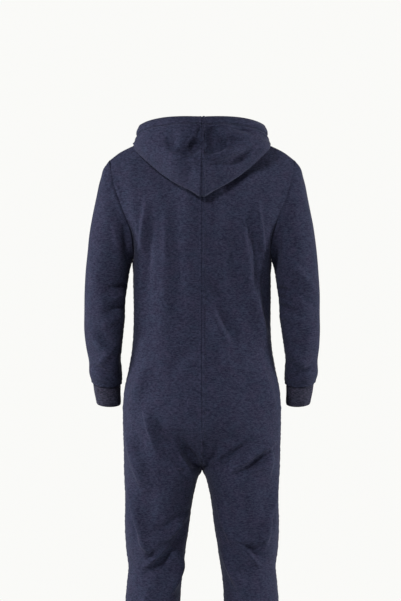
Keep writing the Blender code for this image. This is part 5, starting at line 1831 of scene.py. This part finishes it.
class Zip:
    """The centre-front zip: two woven tapes, two rows of teeth and the stops."""

    SIZES = ZipSizes()

    def __init__(self) -> None:
        """Reads the tapes' solids."""
        self.tapes = {side: self._tape(side) for side in Side}

    def _tape(self, side: Side) -> np.ndarray:
        """A tape's outside: rows from the top, columns from its free edge to the teeth."""
        node = f"zip_tape_{side.word}"
        skin = SolidSkin(node, 2, False, lambda p: -p[1], self.SIZES.tape_wall)
        return skin.turned(lambda p: p[2], lambda p: abs(p[0]))

    def build_tape(self, side: Side, material: bpy.types.Material) -> bpy.types.Object:
        """Args:
            side: the wearer's side.
            material: the woven finish.

        Returns:
            The object.
        """
        size, node, coarse = self.SIZES, f"zip_tape_{side.word}", self.tapes[side]
        rows = even_marks(coarse_lengths(coarse, 0), size.tape_pitch)
        shell = Shell(node, lay(coarse, rows, np.linspace(0, 1, size.tape_steps + 1)), side)
        from_teeth = shell.across[:, -1:] - shell.across
        cord = size.cord_rise * gentle(from_teeth, size.cord_at, size.cord_width)
        shell.lift(cord - size.groove * gentle(from_teeth, size.groove_at, size.groove_width))
        obj = shell.piece([material], size.tape_wall)
        obj.name = f"woven_{node}"
        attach(obj, GARMENT_BODY)
        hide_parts(node)
        return obj

    def centre_line(self) -> tuple[np.ndarray, np.ndarray]:
        """The line between the tapes, and distances along it from the top."""
        line = (self.tapes[Side.LEFT][:, -1] + self.tapes[Side.RIGHT][:, -1]) / 2
        line[:, 0] = 0.0
        fine = spline(line, even_marks(path_lengths(line), self.SIZES.line_pitch))
        return fine, path_lengths(fine)

    def build_teeth(self, side: Side, material: bpy.types.Material) -> bpy.types.Object:
        """Makes one row of teeth, leaving out those inside the slider.

        Args:
            side: the wearer's side.
            material: the teeth's finish.

        Returns:
            The object.
        """
        size = self.SIZES
        line, lengths = self.centre_line()
        low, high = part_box("zip_slider")
        slider_height = (low[2] + high[2]) / 2
        start = size.first_tooth + (0.0 if side is Side.LEFT else size.tooth_pitch / 2)
        across = Vector((1, 0, 0))
        aside = across * side.value * size.tooth_offset
        scale = Matrix.Diagonal((*size.tooth, 1.0))
        bm = bmesh.new()
        count = 0
        for at in np.arange(start, lengths[-1] - size.last_tooth, size.tooth_pitch):
            place = point_along(line, lengths, at)
            if abs(place[2] - slider_height) < size.slider_clear:
                continue
            down = Vector(point_along(line, lengths, at + size.line_pitch) - place).normalized()
            out = across.cross(down).normalized()
            turn = Matrix((across, out, down)).transposed().to_4x4()
            spot = Matrix.Translation(Vector(place) + out * size.tooth[1] * size.standing_out + aside)
            bmesh.ops.create_cube(bm, size=1.0, matrix=spot @ turn @ scale)
            count += 1
        ease_edges(bm, size.edge, segments=1)
        obj = mesh_object(f"zip_teeth_{side.word}", bm, [material])
        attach(obj, GARMENT_BODY)
        LOG.info("%s: %d teeth", obj.name, count)
        return obj

    def build_stops(self, material: bpy.types.Material) -> bpy.types.Object:
        """Makes the two top stops and the bottom stop.

        Args:
            material: the stops' finish.

        Returns:
            The object.
        """
        size = self.SIZES
        line, lengths = self.centre_line()
        low = len(line) - 1 - int(size.bottom_stop_up / size.line_pitch)
        beside = size.top_stop[0] * size.top_stop_aside
        spots = [(line[1], side.value * beside, size.top_stop) for side in Side]
        spots.append((line[low], 0.0, size.bottom_stop))
        bm = bmesh.new()
        for place, aside, box in spots:
            out = Vector((0, -box[1] * size.standing_out, 0))
            spot = Matrix.Translation(Vector(place) + out + Vector((aside, 0, 0)))
            bmesh.ops.create_cube(bm, size=1.0, matrix=spot @ Matrix.Diagonal((*box, 1.0)))
        ease_edges(bm, size.edge, segments=2)
        obj = mesh_object("zip_stops", bm, [material])
        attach(obj, GARMENT_BODY)
        LOG.info("%s: %d stops on a %.0f mm zip", obj.name, len(spots), lengths[-1] * 1000)
        return obj


# ---------------------------------------------------------------------------------------------
# Studio
# ---------------------------------------------------------------------------------------------


@dataclass(frozen=True)
class SoftLight:
    """A square soft light: where it stands, how wide it is, and its power in watts."""

    name: str
    place: tuple[float, float, float]
    size: float
    power: float


SOFT_LIGHTS = (
    SoftLight("key_box", (2.0, 3.5, 2.3), 0.7, 178.0),
    SoftLight("fill_box", (-3.15, 2.25, 1.10), 1.2, 24.0),
    SoftLight("left_rim", (3.3, 0.05, 0.25), 0.8, 128.0),
    SoftLight("right_rim", (-3.3, 0.0, 0.25), 0.8, 114.0),
    SoftLight("front_box", (-1.8, -3.2, 1.4), 1.8, 50.0),
)
FLOOR_FINISH = PlainFinish("studio_floor", (0.80, 0.80, 0.79), 0.9, grain=60.0, variation=0.01)


@dataclass(frozen=True)
class Studio:
    """The floor, the soft lights and the camera behind the wearer."""

    camera_place: tuple[float, float, float] = (0.0036, 5.0, -0.383)
    view_height: float = 1.4424
    sensor: float = 36.0
    aim: tuple[float, float, float] = (0.0, 0.0, -0.55)
    floor_radius: float = 2.6
    floor_corners: int = 96
    backdrop: Colour = (0.955, 0.955, 0.935)
    ambient: float = 0.20

    def build(self) -> None:
        """Makes everything round the garment."""
        self._camera()
        self._floor()
        self._world()
        for light in SOFT_LIGHTS:
            self._light(light)

    def _camera(self) -> None:
        """Stands the camera behind the wearer, level and straight on."""
        data = bpy.data.cameras.new("camera")
        data.sensor_width = self.sensor
        data.lens = self.sensor * self.camera_place[1] / self.view_height
        camera = bpy.data.objects.new("camera", data)
        camera.location = self.camera_place
        camera.rotation_euler = (math.pi / 2, 0.0, math.pi)
        bpy.context.scene.collection.objects.link(camera)
        bpy.context.scene.camera = camera

    def _floor(self) -> None:
        """Lays a pale round floor under the garment."""
        bm = bmesh.new()
        bmesh.ops.create_circle(bm, cap_ends=True, segments=self.floor_corners, radius=self.floor_radius)
        bmesh.ops.translate(bm, verts=bm.verts, vec=(0, 0, FLOOR_HEIGHT))
        mesh_object("floor", bm, [FLOOR_FINISH.build()])

    def _world(self) -> None:
        """Fills the surroundings with an even pale light."""
        world = bpy.data.worlds.new("studio")
        world.use_nodes = True
        s = Shader(world.node_tree)
        shade = world.node_tree.nodes["Background"]
        shade.inputs["Color"].default_value = (*self.backdrop, 1)
        seen = s.add("ShaderNodeLightPath").outputs["Is Camera Ray"]
        s.feed(s.remap(seen, 0.0, 1.0, self.ambient, 1.0), shade.inputs["Strength"])
        bpy.context.scene.world = world

    def _light(self, light: SoftLight) -> None:
        """Stands one light up, turned to the garment's middle."""
        data = bpy.data.lights.new(light.name, "AREA")
        data.size = light.size
        data.energy = light.power
        lamp = bpy.data.objects.new(light.name, data)
        lamp.location = light.place
        aim = Vector(self.aim) - Vector(light.place)
        lamp.rotation_euler = aim.to_track_quat("-Z", "Y").to_euler()
        bpy.context.scene.collection.objects.link(lamp)


# ---------------------------------------------------------------------------------------------
# The garment
# ---------------------------------------------------------------------------------------------


class Half:
    """The cloth on one side of the wearer, dressed with its folds."""

    def __init__(self, side: Side) -> None:
        """Lays and dresses the four pieces.

        Args:
            side: the wearer's side.
        """
        self.side = side
        self.back, self.front = TorsoPiece(Facing.BACK, side), TorsoPiece(Facing.FRONT, side)
        self.hood = HoodPiece(side, self.back, self.front)
        self.sleeve = SleevePiece(side)
        self.back.dress(BACK_FOLDS)
        self.front.dress(FRONT_FOLDS)
        self.sleeve.dress(SLEEVE_BACK_FOLDS, SLEEVE_FRONT_FOLDS)
        self.hood.dress(HOOD_FOLDS)

    def finish(self, cloth: Sequence[bpy.types.Material], rib: bpy.types.Material) -> None:
        """Makes the four pieces and the two cuffs.

        Args:
            cloth: outside and inside material of the fleece.
            rib: the cuffs' material.
        """
        word = self.side.word
        self.back.finish(cloth, [f"cloth_hood_{word}"])
        for piece in (self.front, self.sleeve, self.hood):
            piece.finish(cloth, [f"cloth_back_{word}"])
        RibCuff(f"cuff_{word}", self.side, WRIST_CUFF).build(rib, WRIST_CUFF_CUT, [f"cloth_sleeve_{word}"])
        RibCuff(f"leg_cuff_{word}", self.side, ANKLE_CUFF).build(rib, ANKLE_CUFF_CUT, [f"cloth_back_{word}"])

    def stitch(self, thread: Thread) -> None:
        """Lays the topstitching: the hood's hem, beside the zip and beside the lapped centre seams.

        Args:
            thread: the thread that takes the stitches.
        """
        back, front, hood = self.back.shell, self.front.shell, self.hood.shell
        for distance in HEM_STITCHES:
            thread.row(hood.line_beside_top(distance))
        crotch = int(np.searchsorted(self.front.rows, CROTCH_ROW))
        thread.row(front.line_beside_column(ZIP_SEAM.sunk_at, last=True, stop=crotch))
        if self.side is Side.RIGHT:
            crotch = int(np.searchsorted(self.back.rows, CROTCH_ROW))
            thread.row(back.line_beside_column(LAPPED_SEAM.sunk_at, last=False, stop=crotch))
            thread.row(hood.line_beside_column(LAPPED_SEAM.sunk_at, last=False))


# deep navy fibres with pale blue and plum ones spun in, brushed on the inside
FLEECE = Melange(
    "navy_melange_fleece",
    dark=(0.0070, 0.0075, 0.0180), light=(0.0300, 0.0370, 0.0670), warm=(0.0350, 0.0337, 0.0640),
    strength=0.72,
)
FLEECE_INSIDE = Melange(
    "fleece_inside",
    dark=(0.012, 0.012, 0.026), light=(0.036, 0.040, 0.072), warm=(0.042, 0.037, 0.070),
    nap=0.95, relief=0.0006,
)
RIB_KNIT = Melange(
    "navy_melange_rib",
    dark=(0.0098, 0.0098, 0.0178), light=(0.0392, 0.0420, 0.0672), warm=(0.0438, 0.0398, 0.0645),
    nap=0.3,
)
THREAD_FINISH = PlainFinish("navy_thread", (0.014, 0.016, 0.030), 0.80, grain=2400.0)
TAPE_FINISH = PlainFinish("woven_tape", (0.020, 0.022, 0.040), 0.85, grain=1600.0)
METAL_FINISH = PlainFinish(
    "satin_metal", (0.42, 0.42, 0.44), 0.34, metallic=1.0, grain=700.0, relief=0.00002, variation=0.10
)
TEETH_FINISH = PlainFinish("navy_teeth", (0.030, 0.033, 0.055), 0.40, relief=0.00002, variation=0.10)


class Onesie:
    """Builds every piece and gives the kept solids their finishes."""

    def __init__(self) -> None:
        """Makes the finishes."""
        effects = ClothEffects()
        self.fleece = FLEECE.build(effects)
        self.inside = FLEECE_INSIDE.build(effects)
        self.rib = RIB_KNIT.build(effects)
        self.thread = THREAD_FINISH.build()
        self.tape = TAPE_FINISH.build()
        self.metal = METAL_FINISH.build()
        self.teeth = TEETH_FINISH.build()

    def build(self) -> None:
        """Makes the whole garment."""
        halves = {side: Half(side) for side in Side}
        left, right = halves[Side.LEFT], halves[Side.RIGHT]
        join_centre(left.back.shell, right.back.shell, left.back.rows < CROTCH_ROW)
        whole_seam = np.full(len(left.hood.shell.points), True)
        join_centre(left.hood.shell, right.hood.shell, whole_seam)
        thread = Thread()
        for half in halves.values():
            half.finish([self.fleece, self.inside], self.rib)
            half.stitch(thread)
        thread.finish("topstitching", self.thread)
        zip_front = Zip()
        for side in Side:
            zip_front.build_tape(side, self.tape)
            zip_front.build_teeth(side, self.teeth)
        zip_front.build_stops(self.metal)
        for node in ("zip_slider", "zip_pull"):
            self.give(node, self.metal)

    @staticmethod
    def give(node: str, material: bpy.types.Material) -> None:
        """Gives a kept solid its finish."""
        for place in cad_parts[node].material_slots:
            place.material = material


def main() -> None:
    """Makes the studio and the garment."""
    bpy.context.scene.view_settings.view_transform = "Standard"
    Studio().build()
    Onesie().build()


if __name__ == "__main__":
    main()
